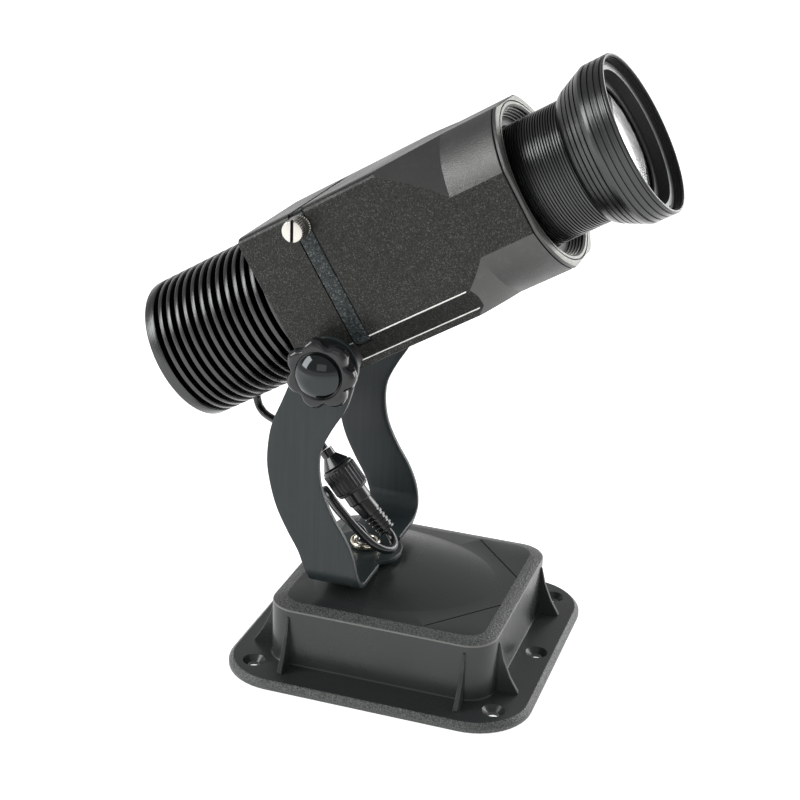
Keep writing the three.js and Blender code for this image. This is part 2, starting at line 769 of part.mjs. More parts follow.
// The head's square tube: an extrusion bored through, its front corners turned down on a lathe.
const gate = { from: 13.5, long: 12.5, wall: 11.2 };
const gateRadius = tubeBore - seatGap;
const gateTo = gate.from + gate.long;
const carrier = {
  thick: 4.3,
  halfShare: 121 / 156,
  seatShare: 97 / 121,
  windowShare: 85 / 97,
  topInset: 0.6,
  neckInset: 9.6,
  glassGap: 0.4,
  clipLip: 0.2,
  seatDeep: 2.7,
  glassThick: 1.1,
  clipThick: 0.7,
};
const carrierMiddle = gate.from + gate.long / 2;
const carrierHalf = gateRadius * carrier.halfShare;
const carrierTop = tube.half - carrier.topInset;
const seatRadius = carrierHalf * carrier.seatShare;
const windowRadius = seatRadius * carrier.windowShare;
const glassRadius = seatRadius - carrier.glassGap;
const cover = { half: 3.65, thick: 2.5, bottomInset: 10.4, topInset: 1.7, screwInset: 6.6 };
const thumb = {
  headRadius: 4.85,
  headThick: 9.6,
  shankRadius: 1.25,
  shankLong: 6,
  slot: 1.1,
  slotDeep: 1.2,
  taper: 0.5,
};
const channelFloor = tube.half - cover.thick - seatGap;
const coverBottom = tube.half - cover.bottomInset;
const screwAbove = tube.half - cover.screwInset;

function tubeOutline() {
  const corner = tube.half - tube.topRound;
  const shape = new THREE.Shape();
  const foot = tube.half - tube.footIn;
  const chamfer = tube.half - tube.chamferIn;
  shape.moveTo(-foot, -tube.half);
  shape.lineTo(foot, -tube.half);
  shape.lineTo(chamfer, tube.chamferLow - tube.half);
  shape.lineTo(tube.half, tube.chamferUp - tube.half);
  shape.lineTo(tube.half, corner);
  shape.absarc(corner, corner, tube.topRound, 0, Math.PI / 2, false);
  shape.lineTo(-corner, tube.half);
  shape.absarc(-corner, corner, tube.topRound, Math.PI / 2, Math.PI, false);
  shape.lineTo(-tube.half, tube.chamferUp - tube.half);
  shape.lineTo(-chamfer, tube.chamferLow - tube.half);
  shape.closePath();
  return shape;
}

// A length of the tube's outline inside the lathe's cone and nose.
function tubeLength(from, to) {
  const blank = tube.half * 2;
  const wide = tube.half + tube.coneCut;
  const narrow = tube.half + tube.noseCut;
  const slope = tube.coneLong / (wide - narrow);
  const lathe = turned(
    [
      [0, tube.rear - overrun],
      [blank, tube.rear - overrun],
      [blank, coneFrom - (blank - wide) * slope],
      [narrow, coneTo],
      [narrow, tube.front + tube.rearWall],
      [0, tube.front + tube.rearWall],
    ],
    largeSides,
  );
  return common(alongX(slab(tubeOutline(), from, to)), alongX(lathe));
}

function pivotHole(radius, from, to, side) {
  const hole = towardsY(rod(radius, from, to, smallSides), side);
  return hole.translate(pivotAlong, 0, -pivotBelow);
}

// The carrier's outline with a margin: straight sides from the top and a round bottom.
function carrierOutline(half, top) {
  const shape = new THREE.Shape();
  shape.moveTo(half, top);
  shape.lineTo(-half, top);
  shape.lineTo(-half, 0);
  shape.absarc(0, 0, half, Math.PI, Math.PI * 2, false);
  shape.closePath();
  return shape;
}

function carrierSlot(margin, top) {
  const half = carrier.thick / 2 + margin;
  const outline = carrierOutline(carrierHalf + margin, top);
  return alongX(slab(outline, carrierMiddle - half, carrierMiddle + half, smallSides));
}

function neckSlot(margin) {
  const half = carrier.thick / 2 + margin;
  return block(
    [carrierMiddle - half, -channelFloor - margin, tube.half - carrier.neckInset - margin],
    [carrierMiddle + half, overrun - carrierHalf, carrierTop + (margin ? overrun * 2 : 0)],
  );
}

function bodyTube() {
  const rearHole = sinkPlugRadius + sink.plugGap;
  const bossRod = (side) => pivotHole(boss.radius, bossInner, bossOuter, side);
  const outside = joined(tubeLength(tube.rear, tube.front), bossRod(1), bossRod(-1));
  const bore = turned(
    [
      [0, tube.rear - overrun],
      [rearHole, tube.rear - overrun],
      [rearHole, tube.rear + tube.rearWall],
      [tubeBore, tube.rear + tube.rearWall],
      [tubeBore, tube.front - tube.mouthDeep],
      [mouthBore, tube.front - tube.mouthDeep],
      [mouthBore, tube.front + overrun],
      [0, tube.front + overrun],
    ],
    largeSides,
  );
  const insertHole = boss.insertRadius + seatGap;
  const holeFrom = bossInner - seatGap * 2;
  const topSlot = common(
    carrierSlot(runGap, tube.half + overrun),
    block([0, -tube.half, 0], [tube.front, tube.half, tube.half * 2]),
  );
  const channel = block(
    [carrierMiddle - cover.half - seatGap, -tube.half - overrun, -coverBottom - seatGap],
    [carrierMiddle + cover.half + seatGap, -channelFloor, tube.half + overrun],
  );
  return cut(
    outside,
    alongX(bore),
    pivotHole(insertHole, holeFrom, bossOuter + overrun, 1),
    pivotHole(insertHole, holeFrom, bossOuter + overrun, -1),
    topSlot,
    neckSlot(runGap),
    channel,
  );
}

// The finned heat sink, turned from one bar, with a plug that carries the lamp through the rear wall.
const sink = {
  inset: 3.4,
  long: 65.5,
  endThick: 5.2,
  fin: 2,
  fins: 12,
  core: 15.3,
  flange: 2.5,
  plugInset: 11.9,
  plugGap: 0.4,
  plugAhead: 3.5,
  sides: 24,
  notchHalf: 4.5,
  notchAngle: THREE.MathUtils.degToRad(25),
};
const sinkRadius = tube.half - sink.inset;
const sinkRear = tube.rear - seatGap - sink.long;
const sinkPlugRadius = tubeBore - sink.plugInset;
const plugTop = tube.rear + sink.plugAhead;
const finSpace = sink.long - sink.endThick - sink.flange;
const finGap = (finSpace - sink.fins * sink.fin) / (sink.fins + 1);
const lamp = {
  boardRadius: 14,
  boardThick: 1.6,
  baseRadius: 5,
  baseThick: 1,
  domeRadius: 3,
  screwPlace: 9,
  screwRadius: 1.2,
  headRadius: 2.1,
  headThick: 1.6,
  screwLong: 6,
};
const leadGland = { radius: 3.9, capRadius: 3.1, capLong: 4 };

function finPlace(fin) {
  return sinkRear + sink.endThick + finGap + fin * (sink.fin + finGap);
}

function lampHoles(low, high) {
  return [-1, 1].map((side) => {
    const hole = rod(lamp.screwRadius + runGap, low, high, smallSides);
    return alongX(hole).translate(0, side * lamp.screwPlace, 0);
  });
}

function heatSink() {
  const endTop = sinkRear + sink.endThick;
  const profile = [[0, sinkRear], [sinkRadius, sinkRear], [sinkRadius, endTop], [sink.core, endTop]];
  for (let fin = 0; fin < sink.fins; fin += 1) {
    const low = finPlace(fin);
    const high = low + sink.fin;
    profile.push([sink.core, low], [sinkRadius, low], [sinkRadius, high], [sink.core, high]);
  }
  const flangeTop = tube.rear - seatGap;
  const flangeLow = flangeTop - sink.flange;
  profile.push([sink.core, flangeLow], [sinkRadius, flangeLow], [sinkRadius, flangeTop]);
  profile.push([sinkPlugRadius, flangeTop], [sinkPlugRadius, plugTop], [0, plugTop]);

  const notch = block(
    [endTop + seatGap / 2, -sink.notchHalf, -sinkRadius - overrun],
    [finPlace(2) - finGap + seatGap / 2, sink.notchHalf, -sink.core - seatGap],
  );
  const holes = lampHoles(plugTop - lamp.screwLong, plugTop + overrun);
  return cut(alongX(turned(profile, sink.sides)), notch.rotateX(sink.notchAngle), ...holes);
}

function addLamp(group) {
  piece(group, "heat_sink", heatSink(), finish.blackAnodised);
  const boardLow = plugTop + seatGap;
  const boardTop = boardLow + lamp.boardThick;
  const board = alongX(rod(lamp.boardRadius, boardLow, boardTop, mediumSides));
  const holes = lampHoles(boardLow - overrun, boardTop + overrun);
  piece(group, "led_board", cut(board, ...holes), finish.nylon);

  const baseLow = boardTop + seatGap;
  const baseTop = baseLow + lamp.baseThick;
  const cap = [[0, baseLow], [lamp.baseRadius, baseLow], [lamp.baseRadius, baseTop]];
  for (let step = 0; step <= cornerSteps; step += 1) {
    const angle = (step / cornerSteps) * (Math.PI / 2);
    cap.push([lamp.domeRadius * Math.cos(angle), baseTop + lamp.domeRadius * Math.sin(angle)]);
  }
  cap[cap.length - 1][0] = 0;
  piece(group, "led_emitter", alongX(turned(cap, mediumSides)), finish.lampYellow);

  const headLow = boardTop + seatGap;
  const headTop = headLow + lamp.headThick;
  const screw = [
    [0, headLow - lamp.screwLong],
    [lamp.screwRadius, headLow - lamp.screwLong],
    [lamp.screwRadius, headLow],
    [lamp.headRadius, headLow],
    [lamp.headRadius, headTop],
    [0, headTop],
  ];
  [-1, 1].forEach((side, k) => {
    piece(group, `led_screw_${k + 1}`, alongX(turned(screw, smallSides)), finish.brightSteel)
      .position.y = side * lamp.screwPlace;
  });

  const glandMiddle = (sinkRear + sink.endThick + finPlace(2) - finGap) / 2;
  const glandFoot = sink.core + seatGap;
  const gland = turned(
    [
      [0, glandFoot],
      [leadGland.radius, glandFoot],
      [leadGland.radius, sinkRadius - leadGland.capLong],
      [leadGland.capRadius, sinkRadius - seatGap],
      [0, sinkRadius - seatGap],
    ],
    smallSides,
  );
  gland.rotateX(Math.PI).rotateX(sink.notchAngle);
  piece(group, "lead_gland", gland, finish.rubber).position.x = glandMiddle;
}

// The optics from the lamp forward: a condenser in its cell, the gobo gate, a baffle and the sleeve.
const cell = {
  wall: 3.2,
  lipWide: 3,
  lipLow: -1.6,
  lipThick: 1.6,
  lensEdge: 2.4,
  lensBulge: 7,
  ringThick: 2.6,
};
const cellInner = gateRadius - cell.wall;
const cellLip = cellInner - cell.lipWide;
const sleeve = { long: 42.2, wall: 4.05, flangeGap: 0.4, flangeThick: 3.6 };
const sleeveBore = gateRadius - sleeve.wall;
const sleeveFrom = tube.front - sleeve.long;
const baffle = { wall: 1.6 };
const frontRing = { thick: 1.7, groove: 0.3 };

// A lens turned about +Z: an edge cylinder with a bulge on one or both faces.
function lensProfile(radius, low, edge, bulgeLow, bulgeHigh) {
  const steps = cornerSteps;
  const profile = [];
  for (let step = 0; step <= steps; step += 1) {
    const share = step / steps;
    profile.push([radius * share, low - bulgeLow * (1 - share * share)]);
  }
  for (let step = steps; step >= 0; step -= 1) {
    const share = step / steps;
    profile.push([radius * share, low + edge + bulgeHigh * (1 - share * share)]);
  }
  return profile;
}

// How far a lens face stands above its edge at a radius.
function bulgeAt(radius, lensRadius, bulge) {
  return bulge * (1 - (radius / lensRadius) ** 2);
}

function flatLensProfile(radius, low, edge, bulge) {
  return [[0, low], ...lensProfile(radius, low, edge, 0, bulge).slice(cornerSteps)];
}

function addOptics(group) {
  const cellLow = tube.rear + tube.rearWall + seatGap;
  const cellTop = gate.from - seatGap;
  const lipTop = cell.lipLow + cell.lipThick;
  const cellShape = turned(
    [
      [cellInner, cellLow],
      [gateRadius, cellLow],
      [gateRadius, cellTop],
      [cellInner, cellTop],
      [cellInner, lipTop],
      [cellLip, lipTop],
      [cellLip, cell.lipLow],
      [cellInner, cell.lipLow],
    ],
    largeSides,
  );
  piece(group, "condenser_cell", alongX(cellShape), finish.blackAnodised);
  const lensLow = lipTop + seatGap;
  const lensRadius = cellInner - seatGap;
  const lens = flatLensProfile(lensRadius, lensLow, cell.lensEdge, cell.lensBulge);
  piece(group, "condenser_lens", alongX(turned(lens, mediumSides)), finish.glass);
  const ringLow = lensLow + cell.lensEdge + bulgeAt(cellLip, lensRadius, cell.lensBulge) + seatGap;
  const ring = pipe(cellLip, lensRadius, ringLow, ringLow + cell.ringThick, mediumSides);
  piece(group, "condenser_ring", alongX(ring), finish.blackAnodised);

  const gateBlank = alongX(pipe(gateRadius - gate.wall, gateRadius, gate.from, gateTo, largeSides));
  piece(group, "gobo_gate", cut(gateBlank, carrierSlot(runGap, tube.half)), finish.blackAnodised);

  const shadeInner = gateRadius - baffle.wall;
  const shade = pipe(shadeInner, gateRadius, gateTo + seatGap, sleeveFrom - seatGap, mediumSides);
  piece(group, "light_baffle", alongX(shade), finish.blackAnodised);

  const flangeLow = tube.front - tube.mouthDeep + seatGap;
  const guide = turned(
    [
      [sleeveBore, sleeveFrom],
      [gateRadius, sleeveFrom],
      [gateRadius, flangeLow],
      [mouthBore - sleeve.flangeGap, flangeLow],
      [mouthBore - sleeve.flangeGap, flangeLow + sleeve.flangeThick],
      [sleeveBore, flangeLow + sleeve.flangeThick],
    ],
    largeSides,
  );
  piece(group, "focus_sleeve", alongX(guide), finish.blackAnodised);

  const ringFrom = tube.front + frontRing.groove;
  const face = tubeLength(ringFrom, ringFrom + frontRing.thick);
  const mouthTo = ringFrom + frontRing.thick + overrun;
  const mouth = alongX(rod(mouthBore, ringFrom - overrun, mouthTo, largeSides));
  piece(group, "front_ring", cut(face, mouth), finish.blackAnodised);
}

function addHead(group) {
  piece(group, "body_tube", bodyTube(), finish.sparklePaint);
  for (const [name, side] of [["near", -1], ["far", 1]]) {
    const insert = pipe(
      boss.insertRadius - boss.insertWall,
      boss.insertRadius,
      bossInner - seatGap,
      bossOuter - seatGap,
      mediumSides,
    );
    piece(group, `pivot_insert_${name}`, towardsY(insert, side), finish.brass)
      .position.set(pivotAlong, 0, -pivotBelow);
  }
  addLamp(group);
  addOptics(group);
}

// The gobo carrier lifts out of the top of the head, its cover strip flush with the near side.
function addCarrier(group, screwGroup) {
  const blank = joined(carrierSlot(0, carrierTop), neckSlot(0));
  const front = carrierMiddle + carrier.thick / 2;
  const screwHole = towardsY(
    rod(thumb.shankRadius + seatGap, channelFloor - thumb.shankLong, tube.half + overrun, smallSides),
    -1,
  ).translate(carrierMiddle, 0, screwAbove);
  const plate = cut(
    blank,
    alongX(rod(windowRadius, carrierMiddle - carrier.thick, front + overrun, mediumSides)),
    alongX(rod(seatRadius, front - carrier.seatDeep, front + overrun, mediumSides)),
    screwHole,
  );
  piece(group, "gobo_carrier", plate, finish.brightSteel);

  const strip = common(
    tubeLength(0, coneFrom),
    block(
      [carrierMiddle - cover.half, -tube.half - overrun, -coverBottom],
      [carrierMiddle + cover.half, -tube.half + cover.thick, tube.half - cover.topInset],
    ),
  );
  piece(group, "gobo_cover", cut(strip, screwHole), finish.sparklePaint);

  const glassLow = front - carrier.seatDeep + seatGap;
  const disc = rod(glassRadius, glassLow, glassLow + carrier.glassThick, mediumSides);
  piece(group, "gobo_disc", alongX(disc), finish.glass);
  const clipLow = glassLow + carrier.glassThick + seatGap;
  const clipTop = clipLow + carrier.clipThick;
  const clipInner = windowRadius - carrier.clipLip;
  const clip = pipe(clipInner, glassRadius, clipLow, clipTop, mediumSides);
  piece(group, "gobo_clip", alongX(clip), finish.brightSteel);

  const headLow = tube.half + seatGap;
  const headTop = headLow + thumb.headThick;
  const tip = channelFloor - thumb.shankLong + seatGap;
  const screw = turned(
    [
      [0, tip],
      [thumb.shankRadius, tip],
      [thumb.shankRadius, headLow],
      [thumb.headRadius, headLow],
      [thumb.headRadius, headTop - thumb.taper],
      [thumb.headRadius - thumb.taper, headTop],
      [0, headTop],
    ],
    mediumSides,
  );
  const slot = block(
    [-thumb.headRadius - overrun, -thumb.slot / 2, headTop - thumb.slotDeep],
    [thumb.headRadius + overrun, thumb.slot / 2, headTop + overrun],
  ).rotateZ(Math.PI / 2 - tiltAngle);
  piece(screwGroup, "thumb_screw", towardsY(cut(screw, slot), -1), finish.brightSteel);
  screwGroup.position.set(carrierMiddle, 0, screwAbove);
}

// The lens barrel: a grooved tube in the sleeve, a flared bezel on its nose and its two lenses.
const barrel = {
  wall: 2.2,
  behind: 34.2,
  ahead: 31.8,
  seatDeep: 4,
  lipWide: 1.8,
  rearEdge: 3,
  rearBulge: 2.6,
  ringThick: 2.4,
};
const barrelRadius = sleeveBore - runGap;
const barrelInner = barrelRadius - barrel.wall;
const barrelLip = barrelInner - barrel.lipWide;
const barrelRear = tube.front - barrel.behind;
const barrelNose = tube.front + barrel.ahead;
const rearSeat = barrelRear + barrel.seatDeep;
const bezel = {
  socket: 8.5,
  long: 24.6,
  collar: 2.7,
  flareMiddle: 8,
  flareLong: 13.3,
  flare: 7.9,
  footWall: 1.2,
  rearWall: 2.8,
  middleWall: 5.5,
  shoulder: 1.5,
  throatWide: 3.8,
  throatLong: 8.7,
  mouthWide: 5.6,
  lip: 0.9,
  grooves: 4,
  groovePitch: 2.7,
  grooveWide: 0.9,
  grooveDeep: 0.9,
};
const bezelRear = barrelNose - bezel.socket;
const bezelFront = bezelRear + bezel.long;
const bezelRadius = barrelRadius + bezel.flare;
const lensSeat = barrelNose + bezel.shoulder;
const throat = barrelRadius + bezel.throatWide;
const frontLens = { edge: 3.2, bulge: 3.4, back: 1.4, ringWide: 3.4, ringThick: 2.2 };

function bezelProfile() {
  const threadRadius = barrelRadius + seatGap;
  const flareTop = bezelRear + bezel.flareLong;
  const mouth = barrelRadius + bezel.mouthWide;
  const throatTop = lensSeat + bezel.throatLong;
  const profile = [
    [threadRadius, bezelRear],
    [barrelRadius + bezel.footWall, bezelRear],
    [barrelRadius + bezel.rearWall, bezelRear + bezel.collar],
    [barrelRadius + bezel.middleWall, bezelRear + bezel.flareMiddle],
    [bezelRadius - bezel.lip, flareTop - bezel.lip],
    [bezelRadius, flareTop],
  ];
  for (let ring = bezel.grooves - 1; ring >= 0; ring -= 1) {
    const high = bezelFront - bezel.lip - ring * bezel.groovePitch;
    const low = high - bezel.grooveWide;
    profile.push([bezelRadius, low], [bezelRadius - bezel.grooveDeep, low]);
    profile.push([bezelRadius - bezel.grooveDeep, high], [bezelRadius, high]);
  }
  profile.push([bezelRadius, bezelFront], [bezelRadius - bezel.lip, bezelFront]);
  profile.push([mouth, bezelFront - bezel.lip], [mouth, throatTop]);
  profile.push([throat, throatTop], [throat, lensSeat], [threadRadius, lensSeat]);
  return profile;
}

function addBarrel(group) {
  const pipeShape = turned(
    [
      [barrelLip, barrelRear],
      [barrelRadius, barrelRear],
      [barrelRadius, barrelNose],
      [barrelInner, barrelNose],
      [barrelInner, rearSeat],
      [barrelLip, rearSeat],
    ],
    largeSides,
  );
  piece(group, "lens_tube", alongX(pipeShape), finish.blackAnodised);
  piece(group, "lens_bezel", alongX(turned(bezelProfile(), largeSides)), finish.blackAnodised);

  const frontRadius = throat - seatGap;
  const frontLow = lensSeat + seatGap;
  const front = lensProfile(frontRadius, frontLow, frontLens.edge, frontLens.back, frontLens.bulge);
  piece(group, "front_lens", alongX(turned(front, mediumSides)), finish.glass);
  const ringInner = frontRadius - frontLens.ringWide;
  const frontRise = bulgeAt(ringInner, frontRadius, frontLens.bulge);
  const ringLow = frontLow + frontLens.edge + frontRise + seatGap;
  const ringTop = ringLow + frontLens.ringThick;
  const ring = pipe(ringInner, frontRadius, ringLow, ringTop, mediumSides);
  piece(group, "lens_ring", alongX(ring), finish.blackAnodised);

  const rearRadius = barrelInner - seatGap;
  const rearLow = rearSeat + seatGap;
  const rear = flatLensProfile(rearRadius, rearLow, barrel.rearEdge, barrel.rearBulge);
  piece(group, "rear_lens", alongX(turned(rear, mediumSides)), finish.glass);
  const rearRise = bulgeAt(barrelLip, rearRadius, barrel.rearBulge);
  const rearRingLow = rearLow + barrel.rearEdge + rearRise + seatGap;
  const rearRing = pipe(barrelLip, rearRadius, rearRingLow, rearRingLow + barrel.ringThick, mediumSides);
  piece(group, "rear_ring", alongX(rearRing), finish.blackAnodised);
}

// A tilt knob: a lobed star grip, the stud that it turns into the head, and a gloss cap.
const knob = {
  lobes: 7,
  radius: 15.6,
  lobeDeep: 2.6,
  thick: 13,
  taper: 3.4,
  faceThick: 5.5,
  roundLow: 1.2,
  roundHigh: 2.4,
  capRadius: 9.5,
  capRise: 3,
  capRim: 0.8,
  studEmbed: 9,
  pointsPerLobe: 8,
};

function starRing(inset) {
  const count = knob.lobes * knob.pointsPerLobe;
  const middle = knob.radius - knob.lobeDeep / 2;
  return Array.from({ length: count }, (unused, k) => {
    const angle = (k / count) * Math.PI * 2;
    const reach = middle + (knob.lobeDeep / 2) * Math.cos(knob.lobes * angle) - inset;
    return new THREE.Vector2(Math.cos(angle), Math.sin(angle)).multiplyScalar(reach);
  });
}

function addKnob(group, name) {
  const low = stripInner + strip.thick + seatGap;
  const high = low + knob.thick;
  const star = stacked([
    { ring: starRing(knob.taper + knob.roundLow), height: low },
    { ring: starRing(knob.taper), height: low + knob.roundLow },
    { ring: starRing(0), height: high - knob.faceThick },
    { ring: starRing(0), height: high - knob.roundHigh },
    { ring: starRing(knob.roundHigh / 2), height: high - knob.roundHigh / 3 },
    { ring: starRing(knob.roundHigh), height: high },
  ]);
  const hole = rod(stud.radius + seatGap, low - overrun, low + knob.studEmbed + seatGap, smallSides);
  piece(group, `tilt_knob_${name}`, cut(star, hole), finish.glossBlack);

  const shaft = rod(stud.radius, bossInner + boss.insertWall, low + knob.studEmbed, smallSides);
  piece(group, `tilt_stud_${name}`, shaft, finish.brightSteel);

  const capLow = high + seatGap;
  const cap = [[0, capLow], [knob.capRadius, capLow], [knob.capRadius, capLow + knob.capRim]];
  for (let step = 1; step <= cornerSteps; step += 1) {
    const share = 1 - step / cornerSteps;
    const rise = (knob.capRise - knob.capRim) * (1 - share * share);
    cap.push([knob.capRadius * share, capLow + knob.capRim + rise]);
  }
  piece(group, `tilt_knob_cap_${name}`, turned(cap, mediumSides), finish.glossBlack);
}

// The whole projector, each moving part in its own group.
const projector = new THREE.Group();
addBase(projector);
addSwivel(projector);

const yoke = new THREE.Group();
projector.add(yoke);
addYoke(yoke);
piece(yoke, "base_lead", cordAlong(baseLeadRoute), finish.rubber);
piece(yoke, "head_lead", cordAlong(headLeadRoute), finish.rubber);

const connector = new THREE.Group();
const couplingNut = new THREE.Group();
yoke.add(connector, couplingNut);
addConnector(connector, couplingNut);

const head = new THREE.Group();
yoke.add(head);
head.rotation.y = -tiltAngle;
const headZero = new THREE.Vector3(-pivotAlong, 0, pivotBelow).applyEuler(head.rotation);
head.position.set(pivotX, 0, pivotHeight).add(headZero);
addHead(head);

const goboHolder = new THREE.Group();
const thumbScrew = new THREE.Group();
head.add(goboHolder);
goboHolder.add(thumbScrew);
addCarrier(goboHolder, thumbScrew);

const lensBarrel = new THREE.Group();
head.add(lensBarrel);
addBarrel(lensBarrel);

for (const [name, side] of [["near", -1], ["far", 1]]) {
  const turn = new THREE.Group();
  turn.position.set(pivotX, 0, pivotHeight);
  turn.rotation.x = (-side * Math.PI) / 2;
  yoke.add(turn);
  addKnob(turn, name);
}

export default projector;
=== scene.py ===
"""A small gobo projector: a square lamp head in a bent steel yoke on a square base box.

Each section makes one piece or one group of like pieces. Sizes are written in millimetres and
become metres where points are put into a mesh. The lens points to +X and the near side is -Y.
"""

import bmesh
import bpy
import numpy as np
from mathutils import Matrix


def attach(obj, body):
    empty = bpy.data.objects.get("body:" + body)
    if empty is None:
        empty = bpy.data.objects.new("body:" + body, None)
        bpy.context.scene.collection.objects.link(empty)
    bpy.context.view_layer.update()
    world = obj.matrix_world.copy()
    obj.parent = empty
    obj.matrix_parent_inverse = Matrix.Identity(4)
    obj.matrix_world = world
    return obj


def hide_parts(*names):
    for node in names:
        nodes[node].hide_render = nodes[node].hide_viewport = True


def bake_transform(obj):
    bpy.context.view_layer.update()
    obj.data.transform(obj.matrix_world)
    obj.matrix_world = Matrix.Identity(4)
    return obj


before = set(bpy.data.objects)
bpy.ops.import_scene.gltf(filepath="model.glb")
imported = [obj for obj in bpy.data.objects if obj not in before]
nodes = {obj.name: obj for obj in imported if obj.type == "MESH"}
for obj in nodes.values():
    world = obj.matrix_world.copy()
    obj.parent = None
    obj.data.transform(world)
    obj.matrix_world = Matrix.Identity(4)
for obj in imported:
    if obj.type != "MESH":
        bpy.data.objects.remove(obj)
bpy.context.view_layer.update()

# Camera
# A short telephoto in front of the lamp and to its right, a little above it, and turned
# slightly about its own line of sight.
picture_px, focal_px, sensor_mm = 800, 1679.34, 36
azimuth, elevation, roll = np.radians([17.56, 21.96, 2.41])
origin_px = np.array([409.53, 634.18])
camera_distance = 0.78453

right = np.array([np.cos(azimuth), np.sin(azimuth), 0])
level = np.cos(elevation)
back = np.array([np.sin(azimuth) * level, -np.cos(azimuth) * level, np.sin(elevation)])
up = np.cross(back, right)
c, s = np.cos(roll), np.sin(roll)
view_rows = np.array([c * right + s * up, c * up - s * right, back])
sideways, upwards = (origin_px - picture_px / 2) / focal_px * camera_distance * [1, -1]
view_matrix = np.eye(4)
view_matrix[:3, :3] = view_rows.T
view_matrix[:3, 3] = -view_rows.T @ np.array([sideways, upwards, -camera_distance])

camera_data = bpy.data.cameras.new("camera")
camera_data.sensor_width = sensor_mm
camera_data.lens = focal_px / picture_px * sensor_mm
camera_data.clip_start = 0.01


def put(name, data):
    """A new object in the scene."""
    made = bpy.data.objects.new(name, data)
    bpy.context.scene.collection.objects.link(made)
    return made


camera = put("camera", camera_data)
camera.matrix_world = Matrix(view_matrix.tolist())
bpy.context.scene.camera = camera
bpy.context.scene.view_settings.view_transform = "Standard"

# Floor
# A plain pale board that runs out of sight on every side and keeps the lamp's soft shadow.
MM = 0.001
floor_reach, floor_drop, floor_glow = 4000, 0.3, 0.74


def wire(tree, kind, inputs=(), **settings):
    """A node of that kind. Inputs are numbers, colours, or the outputs that feed them."""
    made = tree.nodes.new(kind)
    for name, value in settings.items():
        setattr(made, name, value)
    for name, value in dict(inputs).items():
        if isinstance(value, bpy.types.NodeSocket):
            tree.links.new(value, made.inputs[name])
        else:
            made.inputs[name].default_value = value
    return made


def math(tree, operation, first, second):
    """One sum of two numbers or outputs."""
    return wire(tree, "ShaderNodeMath", {0: first, 1: second}, operation=operation).outputs[0]


def finish_of(name, color, roughness, **sockets):
    """A material with plain values on its shader, and its tree and shader for what goes in."""
    material = bpy.data.materials.new(name)
    material.use_nodes = True
    shader = material.node_tree.nodes["Principled BSDF"]
    shader.inputs["Base Color"].default_value = (*color, 1)
    shader.inputs["Roughness"].default_value = roughness
    for socket, value in sockets.items():
        shader.inputs[socket.replace("_", " ")].default_value = value
    return material, material.node_tree, shader


floor_mesh = bpy.data.meshes.new("floor")
r, d = floor_reach * MM, -floor_drop * MM
floor_mesh.from_pydata([(-r, -r, d), (r, -r, d), (r, r, d), (-r, r, d)], [], [(0, 1, 2, 3)])
floor_paint, tree, shader = finish_of("floor_board", (0.9, 0.9, 0.9), 0.9)
# Rays that reach the camera by way of metal or glass see the same bright board as the camera.
rays = wire(tree, "ShaderNodeLightPath").outputs
polished = math(tree, "MAXIMUM", rays["Is Glossy Ray"], rays["Is Transmission Ray"])
glow = math(tree, "MULTIPLY", math(tree, "MAXIMUM", rays["Is Camera Ray"], polished), floor_glow)
shader.inputs["Emission Color"].default_value = (1, 1, 1, 1)
tree.links.new(glow, shader.inputs["Emission Strength"])
floor_mesh.materials.append(floor_paint)
put("floor", floor_mesh)

# Studio light
# A soft box to the left, a larger one behind on the right, a weak fill from the front, and a
# white sweep round the horizon under a darker ceiling. Only the lamp sees the ceiling.
sweep_low, sweep_high, horizon_glow, ceiling_glow = 0.10, 0.26, 0.9, 0.42
lamp_centre_height = 0.13


def span(tree, value, low, high, to_low=0.0, to_high=1.0, **settings):
    """The value, carried over from one range to another."""
    inputs = {"Value": value, "From Min": low, "From Max": high, "To Min": to_low, "To Max": to_high}
    return wire(tree, "ShaderNodeMapRange", inputs, **settings).outputs["Result"]


world = bpy.data.worlds.new("studio")
bpy.context.scene.world = world
world.use_nodes = True
tree = world.node_tree
direction = wire(tree, "ShaderNodeTexCoord").outputs["Generated"]
height = wire(tree, "ShaderNodeSeparateXYZ", {0: direction}).outputs["Z"]
sweep = span(
    tree, height, sweep_low, sweep_high, horizon_glow, ceiling_glow, interpolation_type="SMOOTHSTEP"
)
rays = wire(tree, "ShaderNodeLightPath").outputs
seen = math(tree, "MAXIMUM", rays["Is Camera Ray"], rays["Is Transmission Ray"])
strength = wire(tree, "ShaderNodeMix", {"Factor": seen, "A": sweep, "B": 1.0})
backdrop = tree.nodes["Background"]
backdrop.inputs["Color"].default_value = (1, 1, 1, 1)
tree.links.new(strength.outputs["Result"], backdrop.inputs["Strength"])


def soft_box(name, toward, away, wide, tall, radiance):
    """A flat lamp that faces the object from that direction, its power worked out from its glow."""
    lamp_data = bpy.data.lights.new(name, "AREA")
    lamp_data.shape = "RECTANGLE"
    lamp_data.size, lamp_data.size_y = wide, tall
    lamp_data.energy = radiance * np.pi * wide * tall
    lamp = put(name, lamp_data)
    back = np.array(toward) / np.linalg.norm(toward)
    right = np.cross([0, 0, 1], back)
    right /= np.linalg.norm(right)
    matrix = np.eye(4)
    matrix[:3, :3] = np.array([right, np.cross(back, right), back]).T
    matrix[:3, 3] = back * away + [0, 0, lamp_centre_height]
    lamp.matrix_world = Matrix(matrix.tolist())
    lamp.visible_camera = False


soft_box("left_box", (-0.80, -0.42, 0.45), 1.3, 0.55, 0.75, 7.2)
soft_box("right_box", (0.60, 0.74, 0.32), 1.4, 0.9, 0.75, 5.5)
soft_box("front_fill", (0.10, -0.92, 0.50), 1.5, 0.9, 0.6, 0.8)

